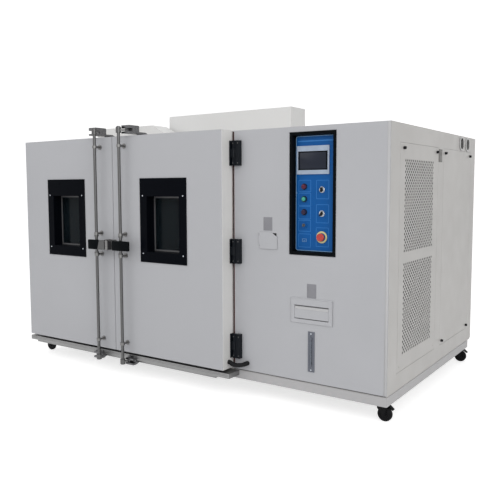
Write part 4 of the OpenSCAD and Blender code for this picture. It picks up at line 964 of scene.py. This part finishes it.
def dress_screen():
    """Black border and dark picture area of the touch screen."""
    low, high = span("touch_screen")
    under, over = 29, 37
    place = facing_front((low.x + high.x - 1) / 2, (low.z + under + high.z - over) / 2)
    width, height = high.x - low.x - 23.6, high.z - low.z - under - over - 0.6
    face = low.y + 0.9
    slab("screen_border", "black_metal", "chamber", place, width, height, low.y + 2, face, 2, 0.3)
    slab("screen_area", "screen_glass", "chamber", place, 204, 112, face, face - 0.15, 1, 0.1)


# Tray and gauge

LIP_RISE = 118.0
LIP_HALF = 131.0
TRAY_LABEL_LEVEL = 843
HATCH_LABEL = (-911, 1300)
GAUGE_SCREW_OUT = 128
GLASS_HALF = 86


def dress_tray():
    """Bevelled trim round the tray's frame, the tray's lip in a lighter paint as a painted highlight,
    painted shade in its slot, and two bare label plates.
    """
    low, high = span("tray_frame")
    x = (low.x + high.x) / 2
    face = low.y
    lip_top = low.z + LIP_RISE

    def bevels(mesh):
        place = facing_front(x, (low.z + high.z) / 2)
        outer, crest, inner = (rounded(high.x - low.x - less, high.z - low.z - less, radius)
                               for less, radius in ((0, 3), (6, 2), (16, 2)))
        loft(mesh, [place(outer, -0.02), place(outer, face + 1.2), place(crest, face - 1.6),
                    place(inner, face - 0.4), place(inner, -0.02)], closed=True)

    def lip(mesh):
        slope = ((-3.0, 19.5), (-3.4, 19.2), (-1.4, 0.4), (-1.0, 0.4))
        loft(mesh, [[at(end, depth, lip_top - drop) for depth, drop in slope]
                    for end in (x - LIP_HALF, x + LIP_HALF)])

    def labels(mesh):
        plate(mesh, facing_front(x, TRAY_LABEL_LEVEL), 72, 98, 0, -1.2, 2, 0.4)
        plate(mesh, facing_front(*HATCH_LABEL), 74, 96, 0, -1.2, 2, 0.4)

    piece("tray_trim", "front_paint", "chamber", bevels)
    # The lip is painted lighter than the tray as a painted highlight.
    piece("tray_lip", "edge_paint", "water_tray", lip)
    # Painted shade: a dark grey plate in the slot over the lip.
    slab("tray_slot_shade", "slot_grey", "water_tray", facing_front(x, lip_top + 3), 2 * LIP_HALF, 9.5,
         2.2, 0.6, 1, 0.2)
    piece("label_plates", "tag_grey", "chamber", labels)


def dress_gauge():
    """Sight tube and end screws of the level gauge."""
    low, high = span("level_gauge")
    x = (low.x + high.x) / 2
    z = (low.z + high.z) / 2
    heads("gauge_screws", "chrome_trim", "chamber", "front",
          [(x, -8, z + dz) for dz in (-GAUGE_SCREW_OUT, GAUGE_SCREW_OUT)], 5.2, 1.6)
    turning("gauge_glass", "gauge_glass", "chamber", facing_up(x, -9),
            [(5.6, z - GLASS_HALF), (5.6, z + GLASS_HALF)], 24)


# Machine side and roof

CABLE_PORTS = (1558, 1731)
CABLE_PORT_LEVEL = 1914
VENT_BOTTOMS = (430, 1129)
VENT_FIRST_HOLE = 274
VENT_HOLE = 9.5
SHADE_SHEET_PLACE = 564
SHADE_SHEET_RISE = 311
SHADE_SHEET_SIZE = (606, 652)
PLAIN_SCREWS = ((209, 346), (926, 346))
KNOB_PLACES = ((231, 1818), (926, 1818), (1132, 1818), (1823, 1818), (1132, 344), (1826, 344))
SIDE_PLATE = (1014.5, 1794.5)
PLINTH_LINE = (190.8, 195.2)
CORNER_HEIGHTS = (198, 1974)


def dress_ports():
    """Bright rims of the two cable ports."""
    face = span("side_ports")[1].x
    profile = [(45.5, face), (45.5, face + 2.0), (48, face + 3.6), (53, face + 3.6), (56, face + 1.4),
               (56.4, face - 1), (56.4, 0.05), (56.02, 0.05), (56.02, face + 0.02)]

    def rims(mesh):
        for y in CABLE_PORTS:
            turned(mesh, facing_side(y, CABLE_PORT_LEVEL), profile, 56, closed=True)

    piece("port_rims", "fin_metal", "chamber", rims)


def dress_vents():
    """Perforated sheet of the front side panel, with a near black sheet of painted shade behind each field
    of holes.
    """
    low, high = span("vent_panel")
    size = (high - low) * MM
    lower, upper = ((bottom - low.z) * MM for bottom in VENT_BOTTOMS)
    sheet = grow("vent_sheet", SHEETS, "side_paint", "chamber", [at(*low)], wide=size.y, high=size.z,
                 thick=size.x, hole=VENT_HOLE * MM, inset=(VENT_FIRST_HOLE - low.y) * MM, lower=lower,
                 upper=upper, facing=FACING["side"])
    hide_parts("vent_panel")

    def shade_sheets(mesh):
        for bottom in VENT_BOTTOMS:
            plate(mesh, facing_side(SHADE_SHEET_PLACE, bottom + SHADE_SHEET_RISE), *SHADE_SHEET_SIZE, -6, -2.05, 2, 0.3)

    piece("vent_shade_sheets", "inner_dark", "chamber", shade_sheets)


def dress_side():
    """Knob grips and screws, the blank plate, a strip over the corner fold painted lighter as a painted
    highlight, and a dark line of painted shade over the plinth.
    """
    y, z = SIDE_PLATE
    slab("side_blank_plate", "plate_dark", "chamber", facing_side(y, z), 83, 97, 0, 1.2, 2, 0.4)
    heads("side_blank_screws", "rod_steel", "chamber", "side",
          [(1.2, y + dy, z + dz) for dy in (-33, 33) for dz in (-40, 40)], 3.4, 1.4, 12)
    # Painted shade: a dark grey strip in the groove over the plinth.
    strip("plinth_shade_line", "slot_grey", (SEAM + 4, -6), PLINTH_LINE, 3, 1.0, 1, 0.3)
    # Painted highlight: the strip over the front's corner fold is lighter than the front.
    strip("corner_highlight_strip", "edge_paint", (-22, -1), CORNER_HEIGHTS, 0, -0.6, 2, 0.4)
    heads("vent_panel_screws", "side_paint", "chamber", "side", [(0, *place) for place in PLAIN_SCREWS],
          5.5, 2.2)
    grow("knob_grips", KNOBS, "black_plastic", "chamber", [at(1, *place) for place in KNOB_PLACES],
         radius=10.4 * MM, height=17.2 * MM, facing=FACING["side"], smooth=25.0)


HOUSING_WIDTH = 1349
HOUSING_FEET = ((836, 860), (1100, 1124))
FOOT_SCREWS = [SEAM - 60 - 153 * i for i in range(9)]
BLADE_STEP = 40


def dress_roof():
    """Foot flanges of the fan housing with their screws."""
    def feet(mesh):
        for front, back in HOUSING_FEET:
            place = facing_up(SEAM - HOUSING_WIDTH / 2, (front + back) / 2)
            plate(mesh, place, HOUSING_WIDTH, back - front, BODY_TOP, BODY_TOP + 2, 2, 0.5)

    piece("housing_foot", "roof_paint", "chamber", feet)
    heads("housing_foot_screws", "chrome_trim", "chamber", "up",
          [(x, (front + back) / 2, BODY_TOP + 2) for front, back in HOUSING_FEET
           for x in FOOT_SCREWS], 5, 2.6)


def dress_back():
    """Blades behind the slots of the rear sheet."""
    grow("rear_blades", ROWS, "side_paint", "chamber",
         [at(x, BODY_DEPTH - 2.4, 374) for x in (SEAM + 180, -560)], count=14,
         step=(0.0, 0.0, BLADE_STEP * MM), plate=(380 * MM, 1.2 * MM, 20 * MM), tilt=(0.5, 0.0, 0.0))


# Casters

BOLT_OUT = 34
BOLT_LEVEL = 118


def dress_caster(number):
    """Plate bolts and hub faces."""
    swivel = joint_place(f"caster_swivel_{number}")
    axle = joint_place(f"caster_roll_{number}")

    def hub(mesh):
        for way in (-1, 1):
            place = lambda points, depth: [at(axle.x + u, axle.y + way * depth, axle.z + v)
                                           for u, v in points]
            turned(mesh, place, [(29, 12.1), (29, 13.0), (20, 13.4), (17.2, 13.0), (17.2, 12.1)], 32,
                   closed=True)

    heads(f"caster_bolts_{number}", "rod_steel", "chamber", "down",
          [(swivel.x + dx, swivel.y + dy, BOLT_LEVEL) for dx in (-BOLT_OUT, BOLT_OUT)
           for dy in (-BOLT_OUT, BOLT_OUT)], 7.5, 6, 6)
    piece(f"caster_hub_{number}", "caster_black", f"caster_wheel_{number}", hub)


# Inside the room

SEAL_IN = 13.0
LAMP_PLACE = (-2824.4, 120)


def dress_seal(side):
    """Silicone seal round the back of a door."""
    low, high = span(side + "_door_gasket")
    y = (low.y + high.y) / 2
    left, right = low.x + SEAL_IN, high.x - SEAL_IN
    bottom, top = low.z + SEAL_IN, high.z - SEAL_IN
    corners = [at(x, y, z) for x, z in ((left, bottom), (right, bottom), (right, top), (left, top))]
    seal = grow(side + "_door_seal", SEALS, "red_rubber", side + "_door", corners,
                [(0, 1), (1, 2), (2, 3), (3, 0)], 40.0)
    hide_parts(side + "_door_gasket")


def dress_lamp():
    """Lens of the ceiling lamp."""
    turning("lamp_lens", "lamp_glass", "chamber", facing_up(*LAMP_PLACE),
            [(58, 1667.6), (56, 1664.5), (45, 1662.6), (0.5, 1662)], 40)


# Room

FLOOR_HALF = 90.0
FLOOR_FRONT = -40.0
CURVE_START = 16.0
CURVE_RADIUS = 6.0
BACKDROP_TOP = 60.0
FLOOR_DROP = 0.0005
FLOOR_WHITE = 0.62
FLOOR_GLOW = 0.68
SKY_LEVEL = 0.78
LIGHT_AIM = (0.0, 0.0, 1.0)


def seen_directly(tree):
    """One for rays from the camera and for those that metal or glass sends on, else nought."""
    path = add_node(tree, "ShaderNodeLightPath")
    most = path.outputs["Is Camera Ray"]
    for name in ("Is Glossy Ray", "Is Transmission Ray"):
        most = add_node(tree, "ShaderNodeMath", {0: most, 1: path.outputs[name]},
                        operation="MAXIMUM").outputs[0]
    return most


def make_floor():
    """Plain white floor that curves up far behind the object."""
    mesh = bmesh.new()
    rows = [(FLOOR_FRONT, 0.0), (CURVE_START, 0.0)]
    for degrees in range(10, 91, 10):
        angle = math.radians(degrees)
        rows.append((CURVE_START + CURVE_RADIUS * math.sin(angle), CURVE_RADIUS * (1 - math.cos(angle))))
    rows.append((CURVE_START + CURVE_RADIUS, BACKDROP_TOP))
    made = [[mesh.verts.new((x, y, z - FLOOR_DROP)) for x in (-FLOOR_HALF, FLOOR_HALF)] for y, z in rows]
    for first, second in zip(made, made[1:]):
        mesh.faces.new((first[0], first[1], second[1], second[0]))
    data = bpy.data.meshes.new("floor")
    mesh.to_mesh(data)
    mesh.free()
    floor = bpy.data.objects.new("floor", data)
    white = Shader("floor_white")
    white.give(Base_Color=(FLOOR_WHITE, FLOOR_WHITE, FLOOR_WHITE, 1.0), Roughness=0.9,
               Emission_Color=(1.0, 1.0, 1.0, 1.0))
    white.link(white.spread(seen_directly(white.tree), 0.0, FLOOR_GLOW, 0.0, 1.0),
               white.shader.inputs["Emission Strength"])
    data.materials.append(white.material)
    data.polygons.foreach_set("use_smooth", [True] * len(data.polygons))
    bpy.context.collection.objects.link(floor)


def make_sky():
    """Even light all round, which is seen as white."""
    world = bpy.data.worlds.new("world")
    world.use_nodes = True
    tree = world.node_tree
    background = tree.nodes["Background"]
    background.inputs["Color"].default_value = (1.0, 1.0, 1.0, 1.0)
    scale = add_node(tree, "ShaderNodeMapRange", {
        "Value": seen_directly(tree), "To Min": SKY_LEVEL, "To Max": 1.0})
    tree.links.new(scale.outputs["Result"], background.inputs["Strength"])
    bpy.context.scene.world = world
    bpy.context.scene.view_settings.view_transform = "Standard"


def area_light(name, place, size, power, color=(1.0, 1.0, 1.0)):
    """A lamp that looks at the middle of the object."""
    data = bpy.data.lights.new(name, "AREA")
    data.shape = "RECTANGLE"
    data.size, data.size_y = size
    data.energy = power
    data.color = color
    light = bpy.data.objects.new(name, data)
    light.location = place
    way = Vector(LIGHT_AIM) - Vector(place)
    light.rotation_euler = way.to_track_quat("-Z", "Y").to_euler()
    bpy.context.collection.objects.link(light)


make_camera()
dress_nodes()
for side in SIDES:
    dress_window(side)
    dress_pan(side)
    dress_lock(side)
dress_hinges()
dress_lever_stop()
dress_sill()
dress_conduit()
dress_plate()
dress_switches()
dress_data_port()
dress_screen()
dress_tray()
dress_gauge()
dress_ports()
dress_vents()
dress_side()
dress_roof()
dress_back()
for number in CASTERS:
    dress_caster(number)
for side in SIDES:
    dress_seal(side)
dress_lamp()
make_floor()
make_sky()
area_light("key", (7.6, -6.6, 4.6), (9.0, 6.0), 345.0, (1.0, 0.995, 0.985))
area_light("fill", (-4.0, -6.5, 5.5), (5.0, 4.0), 70.0)
